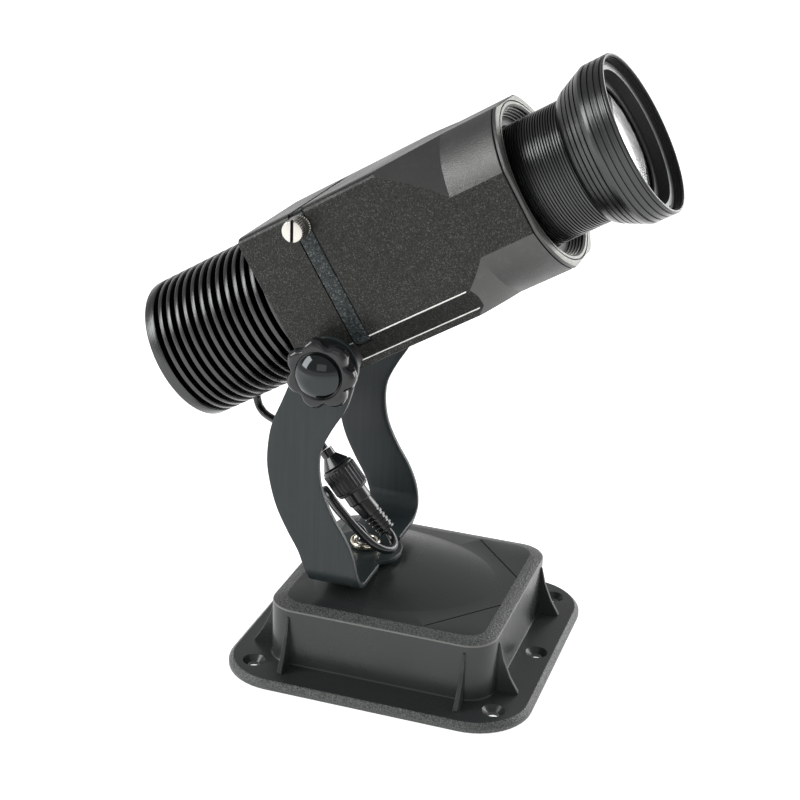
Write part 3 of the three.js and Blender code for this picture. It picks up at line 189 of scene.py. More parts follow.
# Leads
# Two round leads of soft black plastic, 3.8 mm thick. The base's lead leaves the swivel, makes
# a loop beside the connector and ends in its plug. The head's lead comes from under the fins.
lead_radius, lead_steps, lead_sides = 1.9, 6, 20
base_lead_route = [
    [-12.7, 0, 51.4], [-11, -0.5, 49.9], [-8.9, -2.6, 48.1], [-7.6, -6, 47.2], [-7.9, -9.9, 47.3],
    [-10, -13.4, 48.6], [-13.6, -15.8, 51.3], [-18.2, -17.2, 55.4], [-22.8, -17.9, 60],
    [-27.4, -18.2, 64.8], [-31.6, -18, 69], [-35.2, -16.6, 71.9], [-38.3, -13.6, 72.7],
    [-40.1, -9.8, 71.2], [-40.6, -6.2, 68], [-39.8, -3.8, 64], [-37.6, -2.7, 60],
    [-34.4, -2.2, 56.4], [-30.8, -1.6, 53.6], [-27.2, -0.9, 51.4], [-24.7, -0.3, 48.9],
    [-23.5, 0, 45.9], [-23.4, 0, 42], [-23.4, 0, 36], [-23.4, 0, 28], [-23.4, 0, 19.1],
]
head_lead_route = [
    [-85.8, 14.2, 105.2], [-84.7, 15.4, 102.6], [-84.6, 16, 99.2], [-83.4, 15.6, 96],
    [-80.8, 14.1, 93.8], [-77.2, 11.9, 92.9], [-73.3, 9.4, 92.8], [-68.5, 6.9, 92.3],
    [-63.4, 4.7, 91.5], [-58.6, 2.6, 90.8], [-54.2, 1, 90.1], [-50.2, 0.2, 89.6],
    [-47.2, 0, 88.8], [-45.5, 0, 87.8], [-44.4, 0, 86.7],
]


def cubic_line(p, slope, steps, gap=1.0):
    """Cubic pieces through the points, with that slope at each and that gap between them."""
    u = np.linspace(0, 1, steps, endpoint=False)[None, :, None]
    line = (
        (2 * u**3 - 3 * u**2 + 1) * p[:-1, None]
        + (u**3 - 2 * u**2 + u) * (slope[:-1, None] * gap)
        + (3 * u**2 - 2 * u**3) * p[1:, None]
        + (u**3 - u**2) * (slope[1:, None] * gap)
    )
    return np.vstack([line.reshape(-1, p.shape[1]), p[-1:]])


def smooth_path(route):
    """A smooth line through a lead's points, its slopes taken from the points around."""
    p = np.array(route, float)
    t = np.append(0, np.cumsum(np.linalg.norm(np.diff(p, axis=0), axis=1) ** 0.5))
    return cubic_line(p, np.gradient(p, t, axis=0), lead_steps, np.diff(t)[:, None, None])


def grid_quads(rows, columns, close_rows=False):
    """The quads of a grid of points whose columns close, and its rows too where that is asked."""
    row = np.arange(rows if close_rows else rows - 1)[:, None]
    column = np.arange(columns)[None]
    next_row, next_column = (row + 1) % rows, (column + 1) % columns
    a, b = row * columns + column, row * columns + next_column
    c, d = next_row * columns + next_column, next_row * columns + column
    return np.stack([a, b, c, d], -1).reshape(-1, 4)


def tube_points(path):
    """A ring across each point of a lead's path, without twist, and both ends drawn to a point."""
    along = np.gradient(path, axis=0)
    along /= np.linalg.norm(along, axis=1)[:, None]
    across = np.empty_like(along)
    start = np.cross(along[0], [0.3, 1, 0.2])
    across[0] = start / np.linalg.norm(start)
    for k in range(1, len(path)):
        carried = across[k - 1] - along[k] * (across[k - 1] @ along[k])
        across[k] = carried / np.linalg.norm(carried)
    angle = np.linspace(0, 2 * np.pi, lead_sides, endpoint=False)[None, :, None]
    turn = np.cos(angle) * across[:, None] + np.sin(angle) * np.cross(along, across)[:, None]
    ends = [np.repeat(path[k][None], lead_sides, 0)[None] for k in (0, -1)]
    return np.concatenate([ends[0], path[:, None] + lead_radius * turn, ends[1]])


def make_piece(name, points, faces, material, sharp=30, kinds=None):
    """A closed mesh with its doubles merged, its faces outwards and edges past an angle sharp."""
    mesh = bpy.data.meshes.new(name)
    faces = faces if isinstance(faces, list) else faces.tolist()
    mesh.from_pydata((np.asarray(points).reshape(-1, 3) * MM).tolist(), [], faces)
    for paint in material if isinstance(material, list) else [material]:
        mesh.materials.append(paint)
    if kinds is not None:
        mesh.polygons.foreach_set("material_index", kinds)
    shape = bmesh.new()
    shape.from_mesh(mesh)
    bmesh.ops.remove_doubles(shape, verts=shape.verts, dist=1e-7)
    bmesh.ops.recalc_face_normals(shape, faces=shape.faces)
    shape.to_mesh(mesh)
    shape.free()
    mesh.shade_smooth()
    mesh.set_sharp_from_angle(angle=np.radians(sharp))
    return put(name, mesh)


def grid_piece(name, grid, material, sharp=30, kinds=None, close_rows=False):
    """A piece from a grid of points."""
    return make_piece(name, grid, grid_quads(*grid.shape[:2], close_rows), material, sharp, kinds)


def settle(piece, body, slot, *stands_for):
    """The piece rides on a body and stands for these nodes, which are hidden. The slot is not used."""
    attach(piece, body)
    if stands_for:
        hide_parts(*stands_for)


def new_group(name, inputs, outputs):
    """An empty node group with these sockets, what it is given and where its results go."""
    group = bpy.data.node_groups.new(name, "ShaderNodeTree")
    for socket, value in {"Vector": (0, 0, 0), **inputs}.items():
        kind = "NodeSocketVector" if isinstance(value, tuple) else "NodeSocketFloat"
        group.interface.new_socket(socket, in_out="INPUT", socket_type=kind).default_value = value
    for socket in outputs:
        group.interface.new_socket(socket, in_out="OUTPUT", socket_type="NodeSocketFloat")
    return group, group.nodes.new("NodeGroupInput").outputs, group.nodes.new("NodeGroupOutput").inputs


def use_group(tree, group, inputs):
    """The outputs of a group that this tree uses."""
    return wire(tree, "ShaderNodeGroup", inputs, node_tree=group).outputs


def per_metre(tree, size):
    """How many times a size in millimetres goes into a metre, for a pattern's scale."""
    return math(tree, "DIVIDE", 1000.0, size)


def noise(tree, vector, scale, detail, roughness=0.5):
    """Soft noise from 0 to 1."""
    inputs = {"Vector": vector, "Scale": scale, "Detail": detail, "Roughness": roughness}
    return wire(tree, "ShaderNodeTexNoise", inputs).outputs["Fac"]


# Grain is a fine skin on paint and plastic, with slow patches of wear and handling under it.
grain_group, given, result = new_group("skin_grain", {"Size": 1.0}, ["Height", "Patch"])
fine = noise(grain_group, given["Vector"], per_metre(grain_group, given["Size"]), 2.0, 0.6)
grain_group.links.new(fine, result["Height"])
grain_group.links.new(noise(grain_group, given["Vector"], 28.0, 4.0, 0.6), result["Patch"])


def object_vector(tree):
    """The piece's own coordinates."""
    return wire(tree, "ShaderNodeTexCoord").outputs["Object"]


def add_bump(tree, shader, height, strength, size):
    """Bumps the surface by a height of that size in millimetres."""
    bump = wire(tree, "ShaderNodeBump", {"Height": height, "Strength": strength, "Distance": size * MM})
    tree.links.new(bump.outputs["Normal"], shader.inputs["Normal"])


def add_grain(tree, shader, size, depth, low, high, vector=None):
    """Bumps the surface with grain and lets its roughness drift between two values."""
    vector = object_vector(tree) if vector is None else vector
    grain = use_group(tree, grain_group, {"Vector": vector, "Size": size})
    add_bump(tree, shader, grain["Height"], depth, size)
    tree.links.new(span(tree, grain["Patch"], 0.3, 0.7, low, high), shader.inputs["Roughness"])


lead_skin, tree, shader = finish_of("lead_skin", (0.012, 0.013, 0.014), 0.2)
add_grain(tree, shader, 0.5, 0.05, 0.13, 0.24)

base_lead_path = smooth_path(base_lead_route[::-1])
base_lead = grid_piece("base_cord", tube_points(base_lead_path), lead_skin)
settle(base_lead, "yoke", "rubber", "base_lead")

head_lead_path = smooth_path(head_lead_route)
head_lead = grid_piece("head_cord", tube_points(head_lead_path), lead_skin)
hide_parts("head_lead")
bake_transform(head_lead)

# Base box
# One moulding of black plastic with a semi-gloss skin: a flange with a bevelled rim, straight
# walls, a sloped shoulder with a coarser grain, and a shallow egg-shaped dome under the swivel.
# The shoulder and the rim's bevel are painted lighter as painted light from above, and a painted
# highlight runs along the shoulder's lowest edge.
pan_x = -23.4
corner_steps, side_steps, dome_steps = 12, 30, 34
edge_count = 4 * (corner_steps + side_steps)
top_z, seat_z, seat_radius = 32.4, 37.6, 18
dome_front, dome_side, dome_rear, dome_rise = 63.4, 42.3, 19.6, 6
wall_half, shoulder_z, inner_half = 52, 30.7, 49.5
box_rings = np.array([
    [46, 9, top_z], [wall_half, 13, shoulder_z], [wall_half, 13, 4], [68, 24, 4], [70, 26, 2], [70, 26, 0],
    [inner_half, 10.5, 0], [inner_half, 10.5, 28.2], [46, 10.5, 29.9],
])
box_softness = [0.4, 0.5, 1.2, 0.5, 0.5, 0.3, 0.3, 0.3, 0.3]


def softened(corners, reach, steps=3, closed=True):
    """Each corner gives way to a short quadratic curve that starts and ends reach away from it."""
    p = np.array(corners, float)
    before, after = np.roll(p, 1, 0) - p, np.roll(p, -1, 0) - p
    b, a = np.linalg.norm(before, axis=1), np.linalg.norm(after, axis=1)
    reach = np.minimum(np.broadcast_to(reach, len(p)), 0.45 * np.minimum(a, b))
    reach = np.where(p[:, 0] == 0, 0, reach)
    if not closed:
        reach[[0, -1]] = 0
    start, end = p + before * (reach / b)[:, None], p + after * (reach / a)[:, None]
    u = np.linspace(0, 1, steps + 1)[None, :, None]
    curve = (1 - u) ** 2 * start[:, None] + 2 * u * (1 - u) * p[:, None] + u**2 * end[:, None]
    return curve.reshape(-1, p.shape[1])


def round_square(half, corner):
    """A square with round corners as points: each corner's arc, then the straight after it."""
    arc = np.linspace(0, np.pi / 2, corner_steps + 1)
    quarter = np.stack([np.cos(arc), np.sin(arc)], 1) * corner + (half - corner)
    share = np.linspace(0, 1, side_steps + 1)[1:-1, None]
    next_start = np.array([-(half - corner), half])
    quarter = np.vstack([quarter, quarter[-1] + share * (next_start - quarter[-1])])
    c, s = np.array([1, 0, -1, 0]), np.array([0, 1, 0, -1])
    turns = np.stack([np.stack([c, -s], 1), np.stack([s, c], 1)], 1)
    return (turns[:, None] @ quarter[None, :, :, None])[..., 0].reshape(-1, 2)


def dome_rows():
    """Rays from the swivel to the dome's edge. Height falls with the square of the way out."""
    edge = round_square(*box_rings[0][:2])
    ray = edge - [pan_x, 0]
    ray /= np.linalg.norm(ray, axis=1)[:, None]
    reach = np.where(ray[:, 0] > 0, dome_front, dome_rear)
    out = 1 / np.hypot(ray[:, 0] / reach, ray[:, 1] / dome_side)
    share = np.linspace(0, 1, dome_steps)[:, None]
    far = share * out
    z = top_z + dome_rise * (1 - share**2) + 0 * far
    z = np.where(far < seat_radius, np.minimum(z, seat_z), z)
    return np.stack([pan_x + far * ray[:, 0], far * ray[:, 1], z], -1)


def shade_between(tree, shader, factor, first, second):
    """The base colour goes from the first to the second as the factor goes from 0 to 1."""
    inputs = {"Factor": factor, "A": (*first, 1), "B": (*second, 1)}
    mixed = wire(tree, "ShaderNodeMix", inputs, data_type="RGBA").outputs["Result"]
    tree.links.new(mixed, shader.inputs["Base Color"])
    return mixed


base_skin, tree, shader = finish_of("moulded_skin", (0.027, 0.031, 0.030), 0.3)
add_grain(tree, shader, 0.35, 0.05, 0.23, 0.35)
# The shoulder and the flange's bevel take a lighter copy of the skin. Its coarser grain and speckle are the
# moulding's own; its lighter tone is painted light from above.
lit_shoulder_skin, tree, shader = finish_of("lit_shoulder_skin", (0.085, 0.089, 0.084), 0.42)
vector = object_vector(tree)
add_grain(tree, shader, 1.0, 0.5, 0.34, 0.48, vector)
speckle = span(tree, noise(tree, vector, 1800.0, 1.0), 0.38, 0.62)
shade_between(tree, shader, speckle, (0.036, 0.040, 0.038), (0.125, 0.134, 0.126))
# A light grey finish for one thin row along the shoulder's lower edge: a painted highlight.
shoulder_edge_highlight, tree, shader = finish_of("shoulder_edge_highlight", (0.2, 0.205, 0.195), 0.4)
add_grain(tree, shader, 0.6, 0.3, 0.34, 0.48)

rings = softened(box_rings, box_softness, closed=False)
rows = np.array([
    np.column_stack([round_square(half, corner), np.full(edge_count, z)]) for half, corner, z in rings
])
centre = np.tile([0, 0, rings[-1][2]], (edge_count, 1))
rows = np.concatenate([dome_rows(), rows, centre[None]])
# The shoulder's lowest part takes a light row as a painted highlight along its edge. The rim is the flange's
# bevel.
shoulder_low, edge_high, shoulder_high = 30.2, 30.95, 32.3
shoulder_from, edge_from, rim_from = 45.8, 51.6, 67.8
middle_x, middle_z = ((rows[1:, 0] + rows[:-1, 0]) / 2).T[[0, 2]]
past_dome = np.arange(len(middle_z)) > dome_steps - 1
above = middle_z > shoulder_low
on_shoulder = above & (middle_z < shoulder_high) & (middle_x > shoulder_from) & past_dome
on_rim = (middle_x > rim_from) & (middle_z > 0.1)
on_edge = above & (middle_z < edge_high) & (middle_x > edge_from)
row_kind = np.select([on_edge, on_shoulder | on_rim], [2, 1], 0)
kinds = np.repeat(row_kind, edge_count)
base_shell = grid_piece("base_shell", rows, [base_skin, lit_shoulder_skin, shoulder_edge_highlight], 28, kinds)


def turned(profile, sides=96):
    """A closed [radius, height] profile turned about its own upright axis, as a grid."""
    p = np.array(profile, float)
    angle = np.linspace(0, 2 * np.pi, sides, endpoint=False)
    ring = np.stack([np.cos(angle), np.sin(angle)], -1)
    height = np.broadcast_to(p[:, None, 1:], (len(p), sides, 1))
    return np.concatenate([p[:, None, :1] * ring[None], height], -1)


def turned_piece(name, profile, place, material, sides=96, sharp=30, kinds=None):
    """A turned solid, put in place by a function of its points."""
    return grid_piece(name, place(turned(profile, sides)), material, sharp, kinds, close_rows=True)


def drill(radius, low, high, place, material, sides=96):
    """A plain cylinder to cut away."""
    profile = [[0, low], [radius, low], [radius, high], [0, high]]
    return turned_piece("drill", profile, place, material, sides)


def at(x, y):
    """Moves points made about an upright axis to that place."""
    return lambda points: points + [x, y, 0]


def prism(outline, low, high):
    """A flat outline given a thickness: its points at two heights, its sides and two caps."""
    flat = np.array(outline, float)
    count = len(flat)
    points = np.vstack([np.column_stack([flat, np.full(count, z)]) for z in (low, high)])
    sides = grid_quads(2, count).tolist()
    return points, sides + [list(range(count)), list(range(count, 2 * count))]


def cut_away(piece, *cutters, sharp=28):
    """Takes the cutters' volume out of the piece, and removes them."""
    for cutter in cutters:
        cut = piece.modifiers.new("cut", "BOOLEAN")
        cut.operation, cut.solver, cut.object = "DIFFERENCE", "EXACT", cutter
    seen = piece.evaluated_get(bpy.context.evaluated_depsgraph_get())
    mesh = bpy.data.meshes.new_from_object(seen)
    piece.modifiers.clear()
    piece.data = mesh
    mesh.set_sharp_from_angle(angle=np.radians(sharp))
    for cutter in cutters:
        bpy.data.objects.remove(cutter)


hole_radius, sink_radius, sink_z, flange_z = 2.6, 5, 1.6, 4
hole_profile = [[0, -2], [hole_radius, -2], [hole_radius, sink_z], [sink_radius, flange_z],
                [sink_radius + 0.5, flange_z + 0.5], [sink_radius + 0.5, 8], [0, 8]]
hole_places = [[x, y] for x in (-55.5, 55.5) for y in (-54.5, 54.5)] + [[-60.8, 0], [60.8, 0]]
cutters = [turned_piece("hole", hole_profile, at(x, y), base_skin, 40) for x, y in hole_places]
groove_start, groove_end, groove_wide, groove_deep = np.array([20, 44.5]), np.array([46, 14]), 0.7, 0.5
for side in (-1, 1):
    start, end = groove_start * [1, side], groove_end * [1, side]
    along = (end - start) / np.linalg.norm(end - start)
    across = np.array([-along[1], along[0]]) * groove_wide / 2
    outline = [start - across, end - across, end + across, start + across]
    points, faces = prism(outline, top_z - groove_deep, top_z + 3)
    cutters.append(make_piece("groove", points, faces, base_skin))
cut_away(base_shell, *cutters)
settle(base_shell, "base", "moulded_black", "base_housing")

# Ribs of the base box
# Eight thin gusset ribs of the same moulding between the walls and the flange, two to a wall,
# thinner at the top, with a slightly hollow slope.
rib_place, rib_side_place, rib_foot, rib_top, rib_thick, rib_thinning = 40.5, 37.5, 62, 27.5, 2.3, 0.55
rib_outline = softened(
    [[51, 3.5], [rib_foot, 3.5], [rib_foot, 4.8], [58.2, 11], [54.6, 19.4], [52.6, rib_top],
     [51, rib_top]], 0.6,
)


def bevel(piece, width, degrees):
    """Rounds the piece's edges that are sharper than an angle."""
    edge = piece.modifiers.new("edge", "BEVEL")
    edge.width, edge.segments = width * MM, 2
    edge.limit_method, edge.angle_limit = "ANGLE", np.radians(degrees)


points, faces = prism(rib_outline, -rib_thick / 2, rib_thick / 2)
taper = 1 - rib_thinning * np.clip((points[:, 1] - 4) / (rib_top - 4), 0, 1)
rib = np.stack([points[:, 0], points[:, 2] * taper, points[:, 1]], -1)
all_points, all_faces = [], []
for wall, (c, s) in enumerate([(1, 0), (0, 1), (-1, 0), (0, -1)]):
    for side in (-1, 1):
        y = rib[:, 1] + side * (rib_place if wall % 2 else rib_side_place)
        placed = np.stack([c * rib[:, 0] - s * y, s * rib[:, 0] + c * y, rib[:, 2]], -1)
        all_faces += [[k + len(rib) * len(all_points) for k in face] for face in faces]
        all_points.append(placed)
ribs = make_piece("base_ribs", np.vstack(all_points), all_faces, base_skin)
bevel(ribs, 0.25, 50)
settle(ribs, "base", "moulded_black")

# Floor plate, driver and inlet
# The box is closed by a painted floor plate on four screws. It carries the lamp's driver board.
# The inlet on the far wall is a moulded gland with a nut inside.
inlet_x, inlet_z, inlet_bore, inlet_thread, inlet_flange = 22, 16, 3.4, 5.7, 8

wear_group, given, result = new_group("handling_marks", {"Size": 6.0}, ["Mark"])
cloud = noise(wear_group, given["Vector"], per_metre(wear_group, given["Size"]), 5.0, 0.7)
wear_group.links.new(span(wear_group, cloud, 0.52, 0.72), result["Mark"])


def plain_finish(name, color, roughness, grain=0.4, depth=0.08, worn=1.35, **sockets):
    """A moulded or metal finish: fine grain, drifting gloss and faint lighter handling marks."""
    material, tree, shader = finish_of(name, color, roughness, **sockets)
    vector = object_vector(tree)
    add_grain(tree, shader, grain, depth, 0.8 * roughness, min(1.0, 1.25 * roughness), vector)
    marks = use_group(tree, wear_group, {"Vector": vector, "Size": 7.0})
    shade_between(tree, shader, marks["Mark"], color, tuple(min(1.0, worn * c) for c in color))
    return material


def dress(material, *names):
    """Gives the CAD solids of these names that finish."""
    for name in names:
        for place in nodes[name].material_slots:
            place.material = material


def to_far_side(x, z):
    """Lays a shape made about an upright axis along +Y at that place."""
    return lambda points: np.stack([x + points[..., 0], points[..., 2], z - points[..., 1]], -1)


def add_turned(name, profile, place, material, body, slot, *stands_for, sides=96, sharp=30):
    """A turned piece, settled on its body."""
    settle(turned_piece(name, profile, place, material, sides, sharp), body, slot, *stands_for)


bright_steel = plain_finish("bright_steel", (0.62, 0.61, 0.58), 0.24, 0.3, 0.04, Metallic=1)
black_nylon = plain_finish("black_nylon", (0.014, 0.015, 0.016), 0.34, 0.3, 0.06)
dress(plain_finish("plate_paint", (0.030, 0.031, 0.032), 0.42, 0.5, 0.2), "base_plate")
dress(bright_steel, "base_screw_1", "base_screw_2", "base_screw_3", "base_screw_4", "pan_lock_nut")
dress(plain_finish("board_green", (0.02, 0.11, 0.05), 0.42), "driver_board")
dress(plain_finish("ferrite", (0.045, 0.042, 0.04), 0.6, 0.5, 0.3), "driver_transformer")
can_sleeve = plain_finish("can_sleeve", (0.02, 0.022, 0.03), 0.32)
dress(can_sleeve, "driver_capacitor_1", "driver_capacitor_2")
dress(plain_finish("pale_nylon", (0.55, 0.53, 0.47), 0.4), "lead_header")
dress(black_nylon, "mains_gland_nut")

gland_profile = softened(
    [[inlet_bore, 45.8], [inlet_thread, 45.8], [inlet_thread, 52.3], [inlet_flange, 52.3],
     [inlet_flange, 55.2], [7.2, 56], [6.3, 57.6], [inlet_thread, 59], [inlet_bore + 0.5, 59],
     [inlet_bore, 58.5]], 0.3,
)
at_inlet = to_far_side(inlet_x, inlet_z)
add_turned("inlet_gland", gland_profile, at_inlet, black_nylon, "base", "rubber", "mains_gland", sides=64)

# Swivel
# A hollow steel stud stands in the dome. A slip washer carries the yoke, and a polished round
# nut with a rolled rim holds it down. The base's lead runs through the stud.
washer_low, washer_high, washer_radius = 37.9, 39.0, 12
stud_radius, stud_bore, stud_top, stud_low = 4.6, 2.8, 45.0, 22.7
nut_low, nut_high, nut_radius, nut_bore = 42.1, 45.3, 7, 4.9


def ring_profile(inner, outer, low, high, reach=0.25, steps=2):
    """A plain ring with softened corners."""
    return softened([[inner, low], [outer, low], [outer, high], [inner, high]], reach, steps)


on_swivel = at(pan_x, 0)
washer_profile = ring_profile(nut_bore, washer_radius, washer_low, washer_high, 0.35, 3)
stud_profile = ring_profile(stud_bore, stud_radius, stud_low, stud_top, 0.4, 3)
for name, profile, material, slot, node, sides in (
    ("swivel_washer", washer_profile, black_nylon, "nylon", "pan_washer", 72),
    ("swivel_stud", stud_profile, bright_steel, "bright_steel", "pan_stud", 64),
):
    add_turned(name, profile, on_swivel, material, "base", slot, node, sides=sides)

nut_chrome, tree, shader = finish_of("polished_nut", (0.76, 0.70, 0.58), 0.13, Metallic=1)
add_grain(tree, shader, 1.2, 0.10, 0.08, 0.22)
nut_profile = softened(
    [[nut_bore, nut_low], [6.2, nut_low], [6.5, nut_low + 0.5], [nut_radius, nut_low + 0.9],
     [nut_radius, nut_high - 1.0], [6.6, nut_high - 0.25], [6.0, nut_high], [5.3, nut_high - 0.2],
     [nut_bore, nut_high - 0.7]], 0.4, 4,
)
add_turned("swivel_ring_nut", nut_profile, on_swivel, nut_chrome, "base", "brass", "pan_ring_nut", sharp=40)

# Yoke
# One strip of painted steel 2.5 mm thick, bent up at both ends. It has a round pad at the swivel
# with a V notch at each of its corners, and its arms sweep back and forward to round ends.
strip_thick, strip_half, strip_edge = 2.5, 12, 0.45
flat_z, arm_y, bend_radius, bend_y = 40.55, 43.65, 11.25, 32.4
pad_radius, pad_end, plain_from = 17.25, 16.5, 24
notch_y, notch_x, notch_slope, notch_span = 13.14, 10, 0.9375, 1.875
pivot_x, pivot_z, arm_end_radius, arm_sweep = -26.7, 145.6, 12.6, 19
# Along each arm: its share of the height, of the sweep and of the strip's half width.
arm_shares = np.array([
    [0.06, 0, 1], [0.16, 0.15, 1.07], [0.25, 0.4, 1.13], [0.345, 0.695, 1.08], [0.44, 0.9, 1.01],
    [0.535, 0.995, 1], [0.63, 0.97, 1.01], [0.72, 0.81, 1.11], [0.83, 0.51, 1.19],
])
arm_foot_z, arm_span_z = 39.3, 106.3
end_from, end_to = np.radians([-24, 156])


def arm_edge(side):
    """One edge of an arm as [x, z], from the bend to the very top of its round end."""
    middle = pan_x - arm_shares[:, 1] * arm_sweep
    edge = np.stack(
        [middle + side * arm_shares[:, 2] * strip_half, arm_foot_z + arm_shares[:, 0] * arm_span_z], 1
    )
    arc = np.linspace(end_from if side > 0 else end_to, np.pi / 2, 60)
    end = np.stack([pivot_x + arm_end_radius * np.cos(arc), pivot_z + arm_end_radius * np.sin(arc)], 1)
    p = np.vstack([edge, end[:1]])
    wide = np.vstack([p[:1], p, p[-1:]])
    return np.vstack([cubic_line(p, (wide[2:] - wide[:-2]) / 2, 12), end[1:]])


def bent_strip(place, outward, left, right, thick, edge, columns=10):
    """Sections of a strip along a line: a rectangle at each station with its four edges rounded.

    The first coordinate runs across the strip. The edges keep their roundness where the outline
    slants, because the inset grows with the slope of the edge.
    """
    along = np.append(0, np.cumsum(np.linalg.norm(np.diff(place, axis=0), axis=1)))
    turn = np.linspace(0, np.pi / 2, 4)
    inset, rise = edge * (1 - np.cos(turn)), thick / 2 - edge + edge * np.sin(turn)
    half = (right - left) / 2
    insets = [
        np.minimum(inset[None] * np.sqrt(1 + np.gradient(side, along) ** 2)[:, None], half[:, None])
        for side in (left, right)
    ]
    low, high = left[:, None] + insets[0], right[:, None] - insets[1]
    share = np.linspace(0, 1, columns + 1)[None, 1:-1]
    face = low[:, -1:] + share * (high[:, -1:] - low[:, -1:])
    across = np.hstack([low, face, high[:, ::-1], high, face[:, ::-1], low[:, ::-1]])
    top = np.full(face.shape[1], thick / 2)
    level = np.concatenate([rise, top, rise[::-1], -rise, -top, -rise[::-1]])
    offset = place[:, None] + level[None, :, None] * outward[:, None]
    return np.concatenate([across[..., None], offset], -1)


def yoke_stations():
    """The strip's middle line as [y, z] with its outward side and its two edges in x."""
    flat = np.unique(np.concatenate([
        np.linspace(0, pad_end, 67), [notch_y, notch_y - notch_span, notch_y + notch_span],
        np.linspace(pad_end, bend_y, 12),
    ]))
    turn = np.linspace(0, np.pi / 2, 20)[1:]
    rise = flat_z + bend_radius
    top = pivot_z + arm_end_radius * np.sin(np.linspace(-np.pi / 2, np.pi / 2, 80))
    arm = np.concatenate([np.linspace(rise, top[0], 90)[1:], top[1:]])
    y = np.concatenate([flat, bend_y + bend_radius * np.sin(turn), np.full(len(arm), arm_y)])
    z = np.concatenate([np.full(len(flat), flat_z), rise - bend_radius * np.cos(turn), arm])
    tilt = np.concatenate([np.zeros(len(flat)), turn, np.full(len(arm), np.pi / 2)])
    pad = np.sqrt(np.maximum(pad_radius**2 - y**2, 0))
    half = np.where(z < rise - 0.01, np.maximum(strip_half, pad), strip_half)
    half = np.where(y < plain_from, np.minimum(half, notch_x + np.abs(y - notch_y) / notch_slope), half)
    sides = []
    for side in (-1, 1):
        edge = arm_edge(side)
        sides.append(np.where(z < edge[0, 1], pan_x + side * half, np.interp(z, edge[:, 1], edge[:, 0])))
    return y, z, tilt, *sides


y, z, tilt, left, right = yoke_stations()
mirror = np.r_[np.arange(len(y))[:0:-1], np.arange(len(y))]
flip = np.r_[-np.ones(len(y) - 1), np.ones(len(y))]
place = np.stack([y[mirror] * flip, z[mirror]], 1)
outward = np.stack([np.sin(tilt[mirror]) * flip, -np.cos(tilt[mirror])], 1)
points = bent_strip(place, outward, left[mirror], right[mirror], strip_thick, strip_edge)

streak_group, given, result = new_group("brushed_streaks", {"Stretch": (1, 1, 1)}, ["Streak"])
drawn = wire(
    streak_group, "ShaderNodeVectorMath", {0: given["Vector"], 1: given["Stretch"]}, operation="MULTIPLY"
)
streak_group.links.new(noise(streak_group, drawn.outputs["Vector"], 1.0, 3.0, 0.65), result["Streak"])

yoke_paint, tree, shader = finish_of(
    "yoke_paint", (0.02, 0.027, 0.029), 0.36, Coat_Weight=0.05, Specular_IOR_Level=0.36, Coat_Roughness=0.2,
)
vector = object_vector(tree)
add_grain(tree, shader, 0.45, 0.12, 0.28, 0.44, vector)
streaks = use_group(tree, streak_group, {"Vector": vector, "Stretch": (700, 700, 25)})
shade = span(tree, streaks["Streak"], 0.3, 0.7)
shade_between(tree, shader, shade, (0.018, 0.025, 0.027), (0.025, 0.033, 0.035))

pan_hole, tilt_hole = 4.95, 3.2
on_pivot = to_far_side(pivot_x, pivot_z)
yoke = grid_piece("yoke_strip", points, yoke_paint, 35)
tilt_holes = drill(tilt_hole, -60, 60, on_pivot, yoke_paint, 32)
cut_away(yoke, drill(pan_hole, 30, 50, on_swivel, yoke_paint, 48), tilt_holes, sharp=35)
settle(yoke, "yoke", "blue_paint", "yoke")

# Friction washers
# A black washer between each arm of the yoke and the head's boss lets the head tilt stiffly.
boss_radius, boss_out, washer_out = 9.2, 39.3, 42.1
for name, side in (("near", -1), ("far", 1)):
    profile = ring_profile(tilt_hole, boss_radius, *sorted([side * boss_out, side * washer_out]), 0.3, 3)
    add_turned(
        f"friction_washer_{name}", profile, on_pivot, black_nylon, "yoke", "rubber", f"tilt_washer_{name}",
        sides=72,
    )

# Connector
# A round connector joins the two leads: a socket with a tapered relief, a fluted coupling nut
# and a plug with a ribbed boot. All of it is gloss black moulding.
joint_middle = np.array([-34.2, 0, 74])
joint_across, joint_along = np.array([-0.7793, 0, -0.6266]), np.array([0.6266, 0, -0.7793])
boot_long, boot_wide, boot_narrow, boot_ribs, boot_rib_deep = 18.5, 5.2, 4.1, 5, 0.5
boot_plain, boot_foot, boot_lean = 6.5, 12.3, np.radians(-7.8)
flutes, flute_deep, flutes_beyond, flutes_half_long = 26, 0.5, 7.6, 5.35


def on_joint(points):
    """Puts a shape made about an upright axis onto the connector's own axis."""
    p = np.asarray(points, float)
    return joint_middle + p[..., :1] * joint_across + p[..., 1:2] * [0, 1, 0] + p[..., 2:] * joint_along


def hollowed(points, beyond, half_long, count, deep, power=1):
    """Sinks even hollows into a turned grid, past a radius and within half a length."""
    out = np.hypot(points[..., 0], points[..., 1])
    wave = np.cos(count * np.arctan2(points[..., 1], points[..., 0]))
    chosen = (np.abs(points[..., 2]) < half_long) & (out > beyond)
    dip = np.where(chosen, deep * (0.5 - 0.5 * wave) ** power, 0)
    points[..., :2] *= (1 - dip / np.maximum(out, 0.1))[..., None]
    return points


gloss_black = plain_finish("gloss_black", (0.010, 0.011, 0.012), 0.2, 0.3, 0.03, Coat_Weight=0.3)
nut_black = plain_finish("nut_black", (0.016, 0.017, 0.018), 0.36, 0.3, 0.06)

socket_profile = softened(
    [[0, -16], [3.2, -16], [3.2, -12.4], [3.5, -12], [6.3, -8], [6.6, -7.6], [6.1, -7.4], [6.1, -0.3],
     [0, -0.3]], 0.25,
)
socket_body = turned_piece("socket_shell", socket_profile, on_joint, gloss_black, 64)
settle(socket_body, "yoke", "gloss_black", "socket_body")

